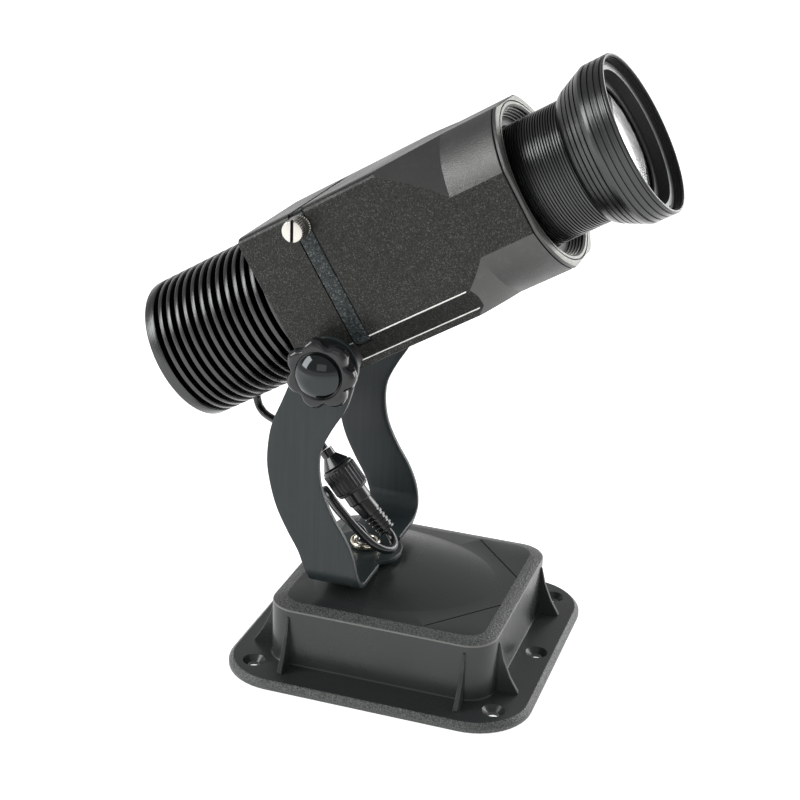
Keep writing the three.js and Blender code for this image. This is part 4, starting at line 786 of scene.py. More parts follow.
shell = turned(softened([[0, 0], [6.1, 0], [6.1, 7], [5.7, 7], [5.7, 12.4], [5.2, 13], [0, 13]], 0.25), 48)
steps = np.arange(2 * boot_ribs + 2)
heights = boot_plain + steps * ((boot_long - boot_plain) / (2 * boot_ribs + 1))
radii = boot_wide + (boot_narrow - boot_wide) * heights / boot_long
deep = np.where(steps[:-1] % 2, boot_rib_deep, 0)
ends = [np.stack([radii[part] - deep, heights[part]], 1) for part in (slice(None, -1), slice(1, None))]
boot_profile = np.stack(ends, 1).reshape(-1, 2)
boot_profile = softened(np.vstack([[[0, 0], [boot_wide, 0]], boot_profile, [[0, boot_long]]]), 0.3)
x, y, z = np.moveaxis(turned(boot_profile, 48), -1, 0)
c, s = np.cos(boot_lean), np.sin(boot_lean)
boot = np.stack([c * x + s * z, y, boot_foot - s * x + c * z], -1)
boot_faces = grid_quads(*boot.shape[:2], close_rows=True) + shell.shape[0] * shell.shape[1]
plug_faces = np.vstack([grid_quads(*shell.shape[:2], close_rows=True), boot_faces])
plug_points = np.vstack([on_joint(shell).reshape(-1, 3), on_joint(boot).reshape(-1, 3)])
plug_body = make_piece("plug_and_boot", plug_points, plug_faces, gloss_black)
settle(plug_body, "yoke", "gloss_black", "plug_body")

nut_profile = softened(
    [[6.45, -7], [6.9, -7], [7.5, -6.4], [7.5, -5.6], [8.0, -5.2], [8.0, 5.2], [7.5, 5.6], [7.5, 6.4],
     [6.9, 7], [6.45, 7]], 0.2, 2,
)
points = turned(nut_profile, flutes * 10)
points = hollowed(points, flutes_beyond, flutes_half_long, flutes, flute_deep, 0.8)
coupling = grid_piece("coupling_nut_fluted", on_joint(points), nut_black, 35, close_rows=True)
settle(coupling, "coupling_nut", "rubber", "coupling_nut")

# Head's tube
# A square aluminium tube with cut lower corners. Its front is turned down on a lathe to a cone
# and a nose, which leaves curved creases on the flat sides. It is painted with a metallic fleck,
# and the edges of the cut corners carry a light metallic line as a painted highlight.
tilt_angle = np.radians(31.5)
head_zero = np.array([-45.274, 0, 165.767])
head_along = np.array([np.cos(tilt_angle), 0, np.sin(tilt_angle)])
head_above = np.array([-np.sin(tilt_angle), 0, np.cos(tilt_angle)])
tube_half, tube_rear, tube_front, rear_wall = 36.2, -10.4, 108.2, 4
tube_bore, mouth_bore, mouth_deep, rear_hole = 31.5, 33.2, 8.2, 20
cone_from, cone_wide, cone_to, nose_radius = 60.5, 48.7, 83.8, 38.6
tube_corners = [[-27.5, -36.2], [27.5, -36.2], [28.5, -32.9], [36.2, -23.6], [36.2, 36.2],
                [-36.2, 36.2], [-36.2, -23.6], [-28.5, -32.9]]
tube_softness = [0.8, 0.8, 0.32, 0.34, 4.7, 4.7, 0.34, 0.32]
corner_parts, outline_step = 7, 1.5
body_rows, cone_rows, nose_rows = 44, 14, 14


def in_head(points):
    """Points given along the lens axis, across it to the far side and above it."""
    p = np.asarray(points, float)
    return head_zero + p[..., :1] * head_along + p[..., 1:2] * [0, 1, 0] + p[..., 2:] * head_above


def on_axis(points):
    """Lays a shape made about an upright axis along the lens axis."""
    return in_head(points[..., [2, 1, 0]])


def pattern_at(tree, centre, turn):
    """Coordinates for a pattern from a centre of its own, turned about it."""
    inputs = {"Vector": object_vector(tree), "Location": tuple(centre * MM), "Rotation": turn}
    return wire(tree, "ShaderNodeMapping", inputs, vector_type="TEXTURE").outputs["Vector"]


def head_vector(tree):
    """The head's own coordinates for a pattern: along the lens axis, across it and above it."""
    return pattern_at(tree, head_zero, (0, -tilt_angle, 0))


def fine_outline(corners, reach, crossing):
    """The softened outline with even points on its straights and where it meets a circle."""
    curve = softened(corners, reach, corner_parts - 1).reshape(len(corners), corner_parts, 2)
    parts, kinds = [], []
    for k in range(len(corners)):
        start, end = curve[k, -1], curve[(k + 1) % len(corners), 0]
        run = end - start
        a, b, c = run @ run, 2 * start @ run, start @ start - crossing**2
        inside = np.sqrt(max(b * b - 4 * a * c, 0))
        share = np.linspace(0, 1, max(2, int(np.sqrt(a) / outline_step)) + 1)[1:-1]
        met = [(-b + sign * inside) / (2 * a) for sign in (-1, 1)]
        share = np.union1d(share, [x for x in met if 0 < x < 1])
        parts += [curve[k], start + share[:, None] * run]
        kinds += [np.full(corner_parts, k), np.full(len(share), -1)]
    return np.vstack(parts), np.concatenate(kinds)


outline, corner_of = fine_outline(tube_corners, tube_softness, nose_radius)
reach = np.hypot(*outline.T)
ray = outline / reach[:, None]
crease = cone_from + (cone_wide - reach) * (cone_to - cone_from) / (cone_wide - nose_radius)
crease = np.minimum(crease, cone_to)
columns = len(outline)


def tube_row(s, radius):
    """One ring of the tube: the outline's rays at that radius and place along the axis."""
    s, radius = np.broadcast_to(s, columns), np.broadcast_to(radius, columns)
    return np.column_stack([s, ray * radius[:, None]])


def cone_row(s):
    """One ring on the lathe's cone: its radius falls evenly from the widest to the nose."""
    slope = (cone_wide - nose_radius) / (cone_to - cone_from)
    radius = np.maximum(nose_radius, cone_wide - (s - cone_from) * slope)
    return tube_row(s, np.minimum(reach, radius))


nose_reach = np.minimum(reach, nose_radius)
body_from, nose_to = tube_rear + 0.5, tube_front - 0.4
rows = [tube_row(tube_rear, reach - 0.5), tube_row(tube_rear + 0.15, reach - 0.15)]
rows += [tube_row(body_from + t * (crease - tube_rear - 0.5), reach) for t in np.linspace(0, 1, body_rows)]
rows += [cone_row(crease + t * (cone_to - crease)) for t in np.linspace(0, 1, cone_rows)[1:]]
rows += [tube_row(cone_to + t * (nose_to - cone_to), nose_reach) for t in np.linspace(0, 1, nose_rows)[1:]]
rows += [tube_row(tube_front - 0.12, nose_reach - 0.12), tube_row(tube_front, nose_reach - 0.4)]
outer_rows = len(rows)
shelf, wall = tube_front - mouth_deep, tube_rear + rear_wall
rows += [tube_row(s, radius) for s, radius in [
    (tube_front, mouth_bore + 0.3), (tube_front - 0.3, mouth_bore), (shelf, mouth_bore), (shelf, tube_bore),
    (wall, tube_bore), (wall, rear_hole), (tube_rear, rear_hole),
]]
rows = np.array(rows)

row = np.arange(len(rows))[:, None]
# The rounded edges of the cut lower corners take a light metallic finish as a painted highlight.
is_edge = (corner_of == np.roll(corner_of, -1)) & np.isin(corner_of, [2, 3, 6, 7])
turned_part = (reach > nose_radius + 0.01) | (np.roll(reach, -1) > nose_radius + 0.01)
kinds = np.where(is_edge[None] & (row < body_rows), 2, 0)
kinds = np.where((row >= body_rows + 1) & (row < outer_rows - 2) & turned_part[None], 1, kinds)
kinds = np.where(row >= outer_rows, 3, kinds)

fleck_group, given, result = new_group("metallic_fleck", {"Size": 0.4}, ["Fleck", "Tone"])
scale = per_metre(fleck_group, given["Size"])
cells = wire(fleck_group, "ShaderNodeTexVoronoi", {"Vector": given["Vector"], "Scale": scale})
channel = wire(fleck_group, "ShaderNodeSeparateColor", {0: cells.outputs["Color"]}).outputs
fleck_group.links.new(span(fleck_group, channel["Red"], 0.80, 0.97), result["Fleck"])
fleck_group.links.new(channel["Green"], result["Tone"])


def fleck_paint(name, dark, light, fleck_color, size, roughness):
    """A dark metallic paint: cells of slightly different tone, and one in six a bright flake."""
    material, tree, shader = finish_of(name, dark, roughness, Coat_Weight=0.1, Specular_IOR_Level=0.25)
    vector = head_vector(tree)
    add_grain(tree, shader, 0.4, 0.12, 0.8 * roughness, 1.2 * roughness, vector)
    cells = use_group(tree, fleck_group, {"Vector": vector, "Size": size})
    ground = shade_between(tree, shader, cells["Tone"], dark, light)
    inputs = {"Factor": cells["Fleck"], "A": ground, "B": (*fleck_color, 1)}
    flaked = wire(tree, "ShaderNodeMix", inputs, data_type="RGBA")
    tree.links.new(flaked.outputs["Result"], shader.inputs["Base Color"])
    tree.links.new(math(tree, "MULTIPLY", cells["Fleck"], 0.6), shader.inputs["Metallic"])
    return material


rings_group, given, result = new_group("lathe_marks", {"Pitch": 0.2}, ["Height", "Tone"])
part = wire(rings_group, "ShaderNodeSeparateXYZ", {0: given["Vector"]}).outputs
flat = wire(rings_group, "ShaderNodeCombineXYZ", {"Y": part["Y"], "Z": part["Z"]}).outputs["Vector"]
out = wire(rings_group, "ShaderNodeVectorMath", {0: flat}, operation="LENGTH").outputs["Value"]
lathe = wire(rings_group, "ShaderNodeCombineXYZ", {"X": part["X"], "Y": out}).outputs["Vector"]
marks = noise(rings_group, lathe, per_metre(rings_group, given["Pitch"]), 1.0)
rings_group.links.new(marks, result["Height"])
rings_group.links.new(noise(rings_group, lathe, 700.0, 2.0, 0.6), result["Tone"])


def turned_finish(name, dark, light, roughness, pitch, depth, axis=head_vector, **sockets):
    """A lathe-turned finish: fine rings round the axis that the given function centres."""
    material, tree, shader = finish_of(name, dark, roughness, **sockets)
    rings = use_group(tree, rings_group, {"Vector": axis(tree), "Pitch": pitch})
    add_bump(tree, shader, rings["Height"], depth, pitch)
    shade_between(tree, shader, rings["Tone"], dark, light)
    drift = span(tree, rings["Tone"], 0.3, 0.7, 0.8 * roughness, 1.25 * roughness)
    tree.links.new(drift, shader.inputs["Roughness"])
    return material


def block(low, high, place, material, kinds=None):
    """A box between two corners to cut away, put in place by a function of its points."""
    (x0, y0, z0), (x1, y1, z1) = low, high
    points, faces = prism([[x0, y0], [x1, y0], [x1, y1], [x0, y1]], z0, z1)
    return make_piece("block", place(points), faces, material, kinds=kinds)


body_paint = fleck_paint(
    "body_paint", (0.002, 0.002, 0.002), (0.030, 0.031, 0.027), (0.085, 0.087, 0.078), 0.42, 0.42
)
corner_paint = plain_finish("corner_paint", (0.098, 0.1, 0.096), 0.38, 0.5, 0.3, 1.2, Metallic=0.85)
# A light metallic finish for the cut corners' edges: a painted highlight along them.
edge_highlight_paint = plain_finish("edge_highlight_paint", (0.82, 0.81, 0.78), 0.4, Metallic=0.7)
# Matte black for bores and mouths. On the thumb screw the same black also stands as painted shade inside the
# slot.
bore_black_and_slot_shade = plain_finish("bore_black_and_slot_shade", (0.012, 0.012, 0.013), 0.5)

finishes = [body_paint, corner_paint, edge_highlight_paint, bore_black_and_slot_shade]
tube_shell = grid_piece("head_tube", in_head(rows), finishes, 14, kinds.ravel(), close_rows=True)
# The cover strip's channel and the slots of the gobo carrier and its neck, by two corners each.
holder_ways = [
    [(15.8, -38, -26.1), (23.7, -33.4, 38)], [(17.25, -24.55, 20), (22.25, 24.55, 38)],
    [(17.25, -33.75, 26.25), (22.25, -24, 38)],
]
cut_away(tube_shell, *[block(low, high, in_head, bore_black_and_slot_shade) for low, high in holder_ways], sharp=14)
settle(tube_shell, "head", "sparkle_paint", "body_tube")

# Pivot bosses
# A round boss on each side of the tube takes a knob's stud in a brass insert.
boss_inner, boss_outer, insert_hole = 28.5, 39, 4.3
for name, side in (("near", -1), ("far", 1)):
    profile = ring_profile(insert_hole, boss_radius, *sorted([side * boss_inner, side * boss_outer]), 0.3, 3)
    add_turned(f"pivot_boss_{name}", profile, on_pivot, corner_paint, "head", "sparkle_paint", sides=72)
brass = plain_finish("brass", (0.62, 0.47, 0.22), 0.28, Metallic=1)
dress(brass, "pivot_insert_near", "pivot_insert_far")

# Heat sink and lamp
# Twelve round fins, an end disc and a flange are turned from one bar and anodised black. A notch
# in the two rearmost fins takes the lead's gland, and the lamp sits on the plug in front.
sink_radius, sink_rear, sink_end, sink_core = 32.8, -76.2, 5.2, 15.3
fin_thick, fin_gap, fin_count, sink_flange = 2.0, 2.6, 12, 2.5
plug_radius, plug_top, tube_gap = 19.6, -6.9, 0.3
notch_half, notch_angle, notch_play, gland_place = 4.5, np.radians(25), 0.15, -66.2

anodised = turned_finish(
    "black_anodised", (0.055, 0.058, 0.057), (0.095, 0.099, 0.097), 0.25, 0.3, 0.3, Metallic=1
)
end_top, flange_top = sink_rear + sink_end, tube_rear - tube_gap
fin_low = end_top + fin_gap + np.arange(fin_count) * (fin_thick + fin_gap)
fins = np.array([[sink_core, 0], [sink_radius, 0], [sink_radius, fin_thick], [sink_core, fin_thick]])
fins = (fins[None] + np.stack([np.zeros(fin_count), fin_low], 1)[:, None]).reshape(-1, 2)
flange_low = flange_top - sink_flange
sink_profile = np.vstack([
    [[0, sink_rear], [sink_radius, sink_rear], [sink_radius, end_top], [sink_core, end_top]], fins,
    [[sink_core, flange_low], [sink_radius, flange_low], [sink_radius, flange_top],
     [plug_radius, flange_top], [plug_radius, plug_top], [0, plug_top]],
])
sink_softness = np.where(sink_profile[:, 0] > 30, 0.3, 0.25)
sink_softness[1:3] = 0.6
heat_sink = turned_piece("finned_sink", softened(sink_profile, sink_softness, 2), on_axis, anodised, 144, 34)


def in_notch(points):
    """Turns a shape made under the lens axis round towards the far side, where the notch is."""
    s, w, n = np.moveaxis(np.asarray(points, float), -1, 0)
    c, d = np.cos(notch_angle), np.sin(notch_angle)
    return in_head(np.stack([s, w * c - n * d, w * d + n * c], -1))


def under_notch(points):
    """Lays a shape made about an upright axis out of the notch, where the gland is."""
    return in_notch(np.stack([gland_place + points[..., 0], points[..., 1], -points[..., 2]], -1))


notch_low = (end_top + notch_play, -notch_half, -36)
notch_high = (fin_low[2] - fin_gap + notch_play, notch_half, -sink_core - 0.3)
cut_away(heat_sink, block(notch_low, notch_high, in_notch, anodised), sharp=34)
settle(heat_sink, "head", "black_anodised", "heat_sink")

gland_profile = softened(
    [[0, 15.6], [3.9, 15.6], [3.9, 28.8], [3.6, 29.4], [3.6, 30.2], [3.3, 30.4], [3.3, 31.2], [3.1, 31.4],
     [3.1, 32.5], [0, 32.5]], 0.2, 2,
)
add_turned(
    "lead_gland_boot", gland_profile, under_notch, black_nylon, "head", "rubber", "lead_gland", sides=48
)
dress(plain_finish("lamp_yellow", (0.75, 0.55, 0.06), 0.4, Coat_Weight=0.6), "led_emitter")
dress(plain_finish("board_white", (0.62, 0.62, 0.58), 0.45), "led_board")
dress(bright_steel, "led_screw_1", "led_screw_2")

# Lenses and what holds them inside the tube
# A flat-backed condenser lens sits in a turned cell behind the gobo gate. A baffle tube and the
# sleeve that guides the lens barrel follow it.
inner_black = turned_finish(
    "inner_black", (0.010, 0.010, 0.011), (0.020, 0.020, 0.021), 0.45, 0.4, 0.3, Metallic=0.3
)
lens_glass, tree, shader = finish_of("lens_glass", (1, 1, 1), 0.0, IOR=1.55, Transmission_Weight=1)
dust = use_group(tree, wear_group, {"Vector": object_vector(tree), "Size": 14.0})
shade_between(tree, shader, dust["Mark"], (1, 1, 1), (0.985, 0.987, 0.987))


def lens_profile(radius, low, edge, back, front, steps=14):
    """A lens as a profile: each face bulges by that much at the middle and meets a straight edge."""
    share = np.linspace(0, 1, steps + 1)
    under = np.stack([radius * share, low - back * (1 - share**2)], 1)
    over = np.stack([radius * share, low + edge + front * (1 - share**2)], 1)[::-1]
    return np.vstack([under, over])


cell_profile = softened(
    [[28, -6.1], [31.2, -6.1], [31.2, 13.2], [28, 13.2], [28, 0], [25, 0], [25, -1.6], [28, -1.6]], 0.2, 2
)
sleeve_profile = softened(
    [[27.15, 66], [31.2, 66], [31.2, 100.3], [32.8, 100.3], [32.8, 103.9], [27.15, 103.9]], 0.25, 2
)
condenser_profile = lens_profile(radius=27.7, low=0.3, edge=2.4, back=0, front=7)
for name, profile, material, slot, node in (
    ("condenser_housing", cell_profile, inner_black, "black_anodised", "condenser_cell"),
    ("condenser_glass", condenser_profile, lens_glass, "glass", "condenser_lens"),
    ("baffle_tube", ring_profile(29.6, 31.2, 26.3, 65.7), inner_black, "black_anodised", "light_baffle"),
    ("barrel_sleeve", sleeve_profile, inner_black, "black_anodised", "focus_sleeve"),
):
    add_turned(name, profile, on_axis, material, "head", slot, node)
dress(inner_black, "condenser_ring", "gobo_gate")

# Front ring
# A turned ring closes the tube's mouth. Its face is bare and bright, and a fine thread runs down
# inside it.
ring_from, ring_to = tube_front + 0.3, tube_front + 2.0
thread_pitch, thread_low, thread_root, thread_count = 1.2, 104.2, 33.0, 5
lip_radius, lip_edge, groove_out, groove_in = 33.6, 0.3, 35.6, 35.0
rib_wide, rib_draw = 0.55, 0.55
# Each ring of the mesh: its place, its radius and the finish of the band that follows it.
ring_steps = [
    (ring_from, mouth_bore - 0.1, 0), (ring_from, nose_reach - 0.3, 0), (ring_from + 0.3, nose_reach, 0),
    (ring_to - 0.4, nose_reach, 0), (ring_to - 0.12, nose_reach - 0.12, 1), (ring_to, nose_reach - 0.4, 1),
    (ring_to, groove_out, 3), (ring_to - 0.6, groove_out - 0.1, 3), (ring_to - 0.6, groove_in + 0.1, 3),
    (ring_to, groove_in, 1), (ring_to, lip_radius + 0.2, 1), (ring_to - lip_edge, lip_radius, 3),
]
for rib in range(thread_count):
    crest = lip_radius - 0.35 - rib * rib_draw
    high = ring_to - 0.65 - rib * thread_pitch
    low, root = high - rib_wide, min(crest + 0.9, thread_root)
    ring_steps += [
        (high + 0.05, root, 2), (high, crest + 0.1, 2), (high - 0.1, crest, 2), (low + 0.1, crest, 2),
        (low, crest + 0.15, 3), (low - 0.05, root, 3),
    ]
ring_steps += [(thread_low, thread_root - 0.4, 3), (thread_low, mouth_bore - 0.1, 3)]
rows = np.array([tube_row(s, radius) for s, radius, _ in ring_steps])
row_kind = np.array([kind for _, _, kind in ring_steps])
ring_face = turned_finish(
    "ring_face", (0.14, 0.14, 0.128), (0.2, 0.198, 0.182), 0.36, 0.3, 0.3, Metallic=0.5
)
thread_metal = turned_finish(
    "thread_metal", (0.26, 0.26, 0.25), (0.36, 0.36, 0.34), 0.34, 0.3, 0.2, Metallic=0.5
)
finishes, kinds = [corner_paint, ring_face, thread_metal, bore_black_and_slot_shade], np.repeat(row_kind, columns)
front_ring = grid_piece("mouth_ring", in_head(rows), finishes, 14, kinds, close_rows=True)
settle(front_ring, "head", "black_anodised", "front_ring")

# Gobo holder
# A steel plate with a round seat for a plain glass disc under a thin ring. It lifts out of the top
# of the tube with the strip that closes its channel, held by one knurled screw.
carrier_half, carrier_top, carrier_low, carrier_high = 24.2, 35.6, 17.6, 21.9
neck_out, neck_low, window_radius, seat_at, seat_floor, disc_radius = 33.4, 26.6, 17, 19.4, 19.2, 19
screw_s, screw_n, screw_hole = 19.75, 29.6, 1.55
disc_low, disc_high, clip_inner, clip_low, clip_high = 19.5, 20.6, 16.8, 20.9, 21.6
turn = np.linspace(np.pi, 2 * np.pi, 48)
carrier_outline = np.vstack([
    [[carrier_half, carrier_top], [-neck_out, carrier_top], [-neck_out, neck_low]],
    [[-carrier_half, neck_low]],
    np.stack([np.cos(turn), np.sin(turn)], 1) * carrier_half,
])
points, faces = prism(carrier_outline, carrier_low, carrier_high)
plate_steel = plain_finish("plate_steel", (0.50, 0.50, 0.48), 0.3, Metallic=1)
plate_black = plain_finish("plate_black", (0.022, 0.023, 0.024), 0.42, Metallic=0.4)
carrier = make_piece("gobo_plate", in_head(points[:, [2, 0, 1]]), faces, plate_black)


def from_near_side(points):
    """Lays a shape made about an upright axis out of the near side where the thumb screw is."""
    p = np.asarray(points, float)
    return in_head(np.stack([screw_s + p[..., 0], -p[..., 2], screw_n + p[..., 1]], -1))


for radius, low, high, place, sides in (
    (window_radius, 10, 30, on_axis, 96), (seat_at, seat_floor, 30, on_axis, 96),
    (screw_hole, 20, 40, from_near_side, 24),
):
    cut_away(carrier, drill(radius, low, high, place, plate_black, sides))
bevel(carrier, 0.2, 40)
settle(carrier, "gobo_holder", "bright_steel", "gobo_carrier")
disc_profile = ring_profile(0, disc_radius, disc_low, disc_high, 0.15)
add_turned("gobo_glass", disc_profile, on_axis, lens_glass, "gobo_holder", "glass", "gobo_disc")
clip_profile = ring_profile(clip_inner, disc_radius, clip_low, clip_high, 0.15)
add_turned("gobo_ring", clip_profile, on_axis, plate_steel, "gobo_holder", "bright_steel", "gobo_clip")

cover_left, cover_right, cover_low, cover_top, cover_thick, cover_round = 16.2, 23.3, -25.8, 34.5, 2.5, 2.2
chamfer_n, chamfer_run, chamfer_fall, top_bend, top_round = -23.6, 9.3, 7.7, 32.2, 4
n = np.concatenate([
    cover_low + cover_round * (1 - np.cos(np.linspace(0, np.pi / 2, 8))), np.linspace(-24.1, -23.1, 7),
    np.linspace(-22.5, 32, 40), np.linspace(32.3, cover_top, 8),
])
on_chamfer = np.clip((-23.1 - n) / 1.0, 0, 1)
w = tube_half - np.clip(chamfer_n - n, 0, chamfer_run) * chamfer_fall / chamfer_run
w -= 0.08 * np.exp(-((n - chamfer_n) / 0.4) ** 2)
w = np.where(n > top_bend, top_bend + np.sqrt(np.maximum(top_round**2 - (n - top_bend) ** 2, 0)), w)
lean = np.arctan2(chamfer_run, chamfer_fall) - np.pi / 2
lean = np.where(n > top_bend, np.arcsin(np.clip((n - top_bend) / top_round, 0, 1)), on_chamfer * lean)
outward = np.stack([-np.cos(lean), np.sin(lean)], 1)
place = np.stack([-w, n], 1) - outward * cover_thick / 2
fall = np.maximum(cover_round - (n - cover_low), 0)
narrow = cover_round - np.sqrt(np.maximum(cover_round**2 - fall**2, 0))
points = bent_strip(place, outward, cover_left + narrow, cover_right - narrow, cover_thick, 0.35, 4)
strip_paint = fleck_paint(
    "strip_paint", (0.003, 0.005, 0.006), (0.040, 0.050, 0.050), (0.13, 0.145, 0.145), 0.5, 0.42
)
cover = grid_piece("cover_strip", in_head(points), strip_paint, 34)
settle(cover, "gobo_holder", "sparkle_paint", "gobo_cover")

# Thumb screw
# A nickel-plated screw with a knurled head holds the gobo holder. Its slot stands upright, and its faces are
# black as painted shade.
head_radius, head_from, head_to, shank_radius, screw_tip = 4.85, 36.5, 46.1, 1.25, 27.7
knurls, knurl_deep = 28, 0.38
slot_long, slot_half, slot_floor, slot_lean = 6, 0.7, 44.4, np.pi / 2 - tilt_angle


def screw_axis(tree):
    """Coordinates for a pattern round the thumb screw's own axis."""
    return pattern_at(tree, in_head([screw_s, 0, screw_n]), (0, 0, np.pi / 2))


def in_slot(points):
    """Turns a shape about the screw's axis, so that the slot stands upright with the lamp at rest."""
    x, y, z = np.moveaxis(np.asarray(points, float), -1, 0)
    c, s = np.cos(slot_lean), np.sin(slot_lean)
    return from_near_side(np.stack([c * x - s * y, s * x + c * y, z], -1))


nickel = turned_finish(
    "nickel", (0.56, 0.545, 0.5), (0.72, 0.7, 0.645), 0.28, 0.2, 0.2, screw_axis, Metallic=1
)
screw_profile = softened(
    [[0, screw_tip], [0.9, screw_tip], [shank_radius, screw_tip + 0.4], [shank_radius, head_from],
     [4.4, head_from], [4.4, head_from + 0.5], [head_radius, head_from + 0.8], [head_radius, head_to - 0.8],
     [head_radius - 0.5, head_to], [0, head_to]], 0.15, 2,
)
points = hollowed(turned(screw_profile, knurls * 8), head_radius - 0.1, head_to + 1, knurls, knurl_deep)
# The slot's faces take the black finish: painted shade in the slot.
finishes = [nickel, bore_black_and_slot_shade]
thumb_screw = grid_piece("knurled_screw", from_near_side(points), finishes, 40, close_rows=True)
slot_low, slot_high = (-slot_long, -slot_half, slot_floor), (slot_long, slot_half, head_to + 1.9)
cut_away(thumb_screw, block(slot_low, slot_high, in_slot, finishes, [1] * 6), sharp=40)
settle(thumb_screw, "thumb_screw", "bright_steel", "thumb_screw")

# Lens barrel
# A grooved tube slides in the sleeve. A flared bezel is screwed on its nose, with a fine ribbed
# flare, four grooves round its rim and steps inside. Both lenses are held by thin rings.
barrel_radius, barrel_inner, barrel_rear, barrel_nose, barrel_seat = 26.8, 24.6, 74, 140, 22.8
groove_from, groove_to, groove_pitch, groove_cut = 106.4, 131, 1.2, 0.7
groove_low = np.arange(groove_from, groove_to, groove_pitch)
cut_shape = np.array([[0, 0], [-groove_cut, 0.16], [-groove_cut, 0.52], [0, 0.68]])
grooves = cut_shape[None] + np.stack([np.full(len(groove_low), barrel_radius), groove_low], 1)[:, None]
barrel_profile = np.vstack([
    [[barrel_seat, barrel_rear], [barrel_radius - 0.3, barrel_rear], [barrel_radius, barrel_rear + 0.3]],
    grooves.reshape(-1, 2),
    [[barrel_radius, barrel_nose], [barrel_inner, barrel_nose], [barrel_inner, 78], [barrel_seat, 78]],
])
barrel = turned_piece("grooved_barrel", barrel_profile, on_axis, anodised, 120, 40)
settle(barrel, "lens_barrel", "black_anodised", "lens_tube")

bezel_radius, bezel_rear, bezel_front, bezel_thread, bezel_bore = 34.7, 131.5, 156.1, 27.1, 30.6
mouth_radius, mouth_recess, mouth_foot, lens_seat = 33.2, 33.5, 150.0, 141.5
rim_groove, rim_pitch, rim_deep = 0.9, 2.7, 0.6
flare_foot, flare_top = np.array([29.6, 133.6]), np.array([34.4, 144.2])
bezel_profile = [
    [bezel_thread, bezel_rear], [28.0, bezel_rear], [28.4, bezel_rear + 0.3], flare_foot.tolist(),
]
for band in (0.12, 0.34, 0.56, 0.78):
    rear, front = [(flare_foot + (band + part) * (flare_top - flare_foot)).tolist() for part in (0, 0.06)]
    bezel_profile += [rear, [rear[0] - 0.4, rear[1] + 0.12], [front[0] - 0.4, front[1] - 0.06], front]
bezel_profile += [flare_top.tolist(), [bezel_radius, 144.8]]
for ring in (3, 2, 1, 0):
    high = bezel_front - 0.9 - ring * rim_pitch
    low = high - rim_groove
    lip, floor_radius = bezel_radius - 0.2, bezel_radius - rim_deep
    bezel_profile += [[bezel_radius, low - 0.1], [lip, low], [floor_radius, low + 0.1],
                      [floor_radius, high - 0.1], [lip, high]]
    bezel_profile += [[bezel_radius, high + 0.1]] if ring else []
bezel_profile += [[bezel_radius, high + 0.35], [bezel_radius - 0.35, bezel_front], [33.6, bezel_front]]
mouth_start = len(bezel_profile) - 1
for step in (0, 1, 2):
    front = bezel_front - 0.5 - 1.1 * step
    bezel_profile += [[mouth_radius, front], [mouth_radius, front - 0.5],
                      [mouth_recess, front - 0.7], [mouth_recess, front - 1.0]]
bezel_profile += [[mouth_radius, mouth_foot], [bezel_bore, mouth_foot], [bezel_bore, lens_seat],
                  [bezel_thread, lens_seat]]
side_count = 144
mouth_kind = (np.arange(len(bezel_profile)) >= mouth_start).astype(int)
bezel = turned_piece(
    "flared_bezel", bezel_profile, on_axis, [anodised, bore_black_and_slot_shade], side_count, 32,
    np.repeat(mouth_kind, side_count),
)
settle(bezel, "lens_barrel", "black_anodised", "lens_bezel")

lens_place = (on_axis, lens_glass, "lens_barrel", "glass")
front_profile = lens_profile(radius=30.3, low=141.8, edge=3.2, back=1.4, front=3.4, steps=20)
add_turned("front_glass", front_profile, *lens_place, "front_lens", sides=128)
ring_grey = turned_finish(
    "ring_grey", (0.19, 0.2, 0.195), (0.25, 0.262, 0.255), 0.4, 0.3, 0.25, Metallic=0.2
)
dress(ring_grey, "rear_ring")
keep_low, keep_shelf, keep_foot, keep_face = 146.5, 147.3, 150.3, 152.0
spanner_at, spanner_radius = 31.1, 0.5
keep_profile = softened(
    [[24.6, keep_low], [30.3, keep_low], [30.3, keep_foot], [32.9, keep_foot], [32.9, keep_face],
     [29.2, keep_face], [29.2, keep_shelf], [24.9, keep_shelf]], 0.15, 2,
)
face_rows = (keep_profile[:, 1] > keep_foot) & (np.roll(keep_profile[:, 1], -1) > keep_shelf + 2)
keep_ring = turned_piece(
    "keeper_ring", keep_profile, on_axis, [bore_black_and_slot_shade, ring_grey], side_count, 30,
    np.repeat(face_rows.astype(int), side_count),
)
for side in (-1, 1):
    on_spanner = lambda p, side=side: on_axis(p + [side * spanner_at, 0, 0])
    hole = drill(spanner_radius, keep_face - 1, keep_face + 1, on_spanner, bore_black_and_slot_shade, 20)
    cut_away(keep_ring, hole, sharp=30)
settle(keep_ring, "lens_barrel", "black_anodised", "lens_ring")
rear_profile = lens_profile(radius=24.3, low=78.3, edge=3, back=0, front=2.6, steps=16)
add_turned("rear_glass", rear_profile, *lens_place, "rear_lens")

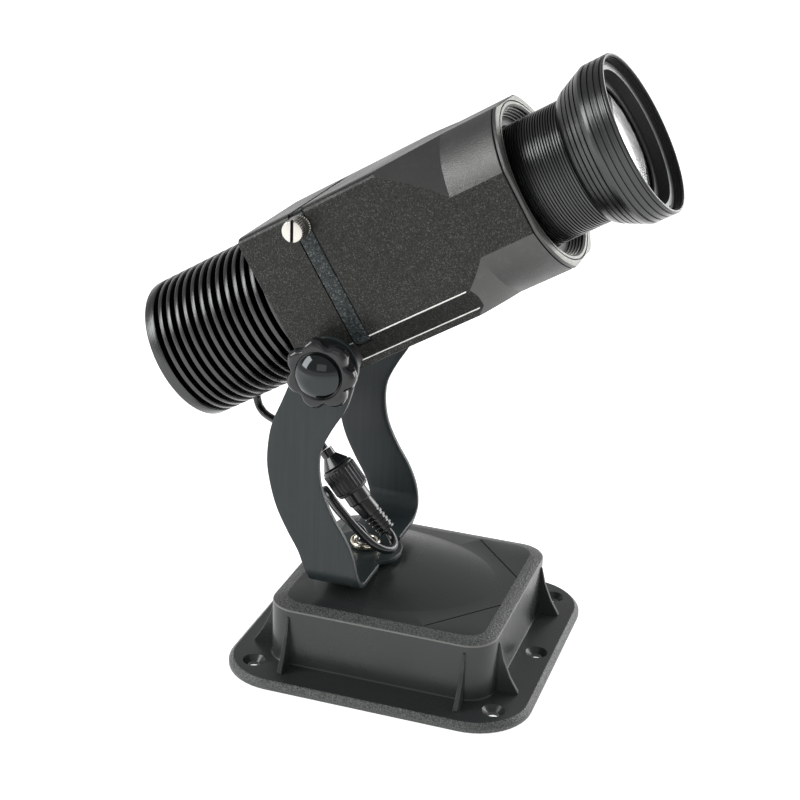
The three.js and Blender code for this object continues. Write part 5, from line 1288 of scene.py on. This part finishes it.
# Tilt knobs
# Seven-lobed moulded star knobs with gloss caps pinch the yoke's arms against the head.
lobes, lobe_deep, lobes_from, lobes_rise = 7, 2.6, 10.6, 4.4
cap_radius, cap_low, cap_high, cap_edge = 9.5, 58.5, 63.4, 0.8
knob_plastic = plain_finish("knob_plastic", (0.013, 0.014, 0.015), 0.16, 0.35, 0.03)
cap_gloss = plain_finish("cap_gloss", (0.045, 0.049, 0.05), 0.05, 0.3, 0.004, 1.1, Metallic=1)
star_rows = np.array([
    [0, 46.0], [10.2, 46.0], [10.6, 45.4], [11.2, 45.2], [11.8, 45.3], [12.2, 45.9], [13.2, 48], [14.4, 50.5],
    [15.2, 52.4], [15.5, 53.4], [15.6, 54.2], [15.6, 55.4], [15.45, 56.3], [15.0, 57.1], [14.3, 57.7],
    [13.4, 58.05], [12.4, 58.2], [10.6, 58.2], [10.2, 58.0], [10.1, 57.4], [0, 57.4],
])
angle = np.linspace(0, 2 * np.pi, lobes * 24, endpoint=False)
wave = np.cos(lobes * angle)
lobe = lobe_deep / 2 * (wave - 1) * (0.62 + 0.38 * np.abs(wave))
strength = np.clip((star_rows[:, 0] - lobes_from) / lobes_rise, 0, 1)
reach = star_rows[:, :1] + strength[:, None] * lobe[None]
height = np.broadcast_to(star_rows[:, 1:], reach.shape)
star = np.stack([reach * np.cos(angle), reach * np.sin(angle), height], -1)

cap_rise = cap_high - cap_low - cap_edge
sphere = (cap_radius**2 + cap_rise**2) / (2 * cap_rise)
out = cap_radius * np.cos(np.linspace(0, np.pi / 2, 16))[1:]
cap_profile = np.vstack([
    [[0, cap_low], [cap_radius - 0.2, cap_low], [cap_radius, cap_low + 0.25]],
    [[cap_radius, cap_low + cap_edge]],
    np.stack([out, cap_high - sphere + np.sqrt(sphere**2 - out**2)], 1),
])


def beside_arm(side):
    """Lays a shape made about an upright axis out of that side of the head, at the pivot."""
    return lambda points: np.stack(
        [pivot_x + points[..., 0], side * points[..., 2], pivot_z + points[..., 1]], -1
    )


for name, side in (("near", -1), ("far", 1)):
    knob = grid_piece(f"star_knob_{name}", beside_arm(side)(star), knob_plastic, 40)
    settle(knob, f"knob_{name}", "moulded_black", f"tilt_knob_{name}")
    add_turned(
        f"knob_cap_{name}", cap_profile, beside_arm(side), cap_gloss, f"knob_{name}", "gloss_black",
        f"tilt_knob_cap_{name}", sides=72, sharp=50,
    )
dress(bright_steel, "tilt_stud_near", "tilt_stud_far")
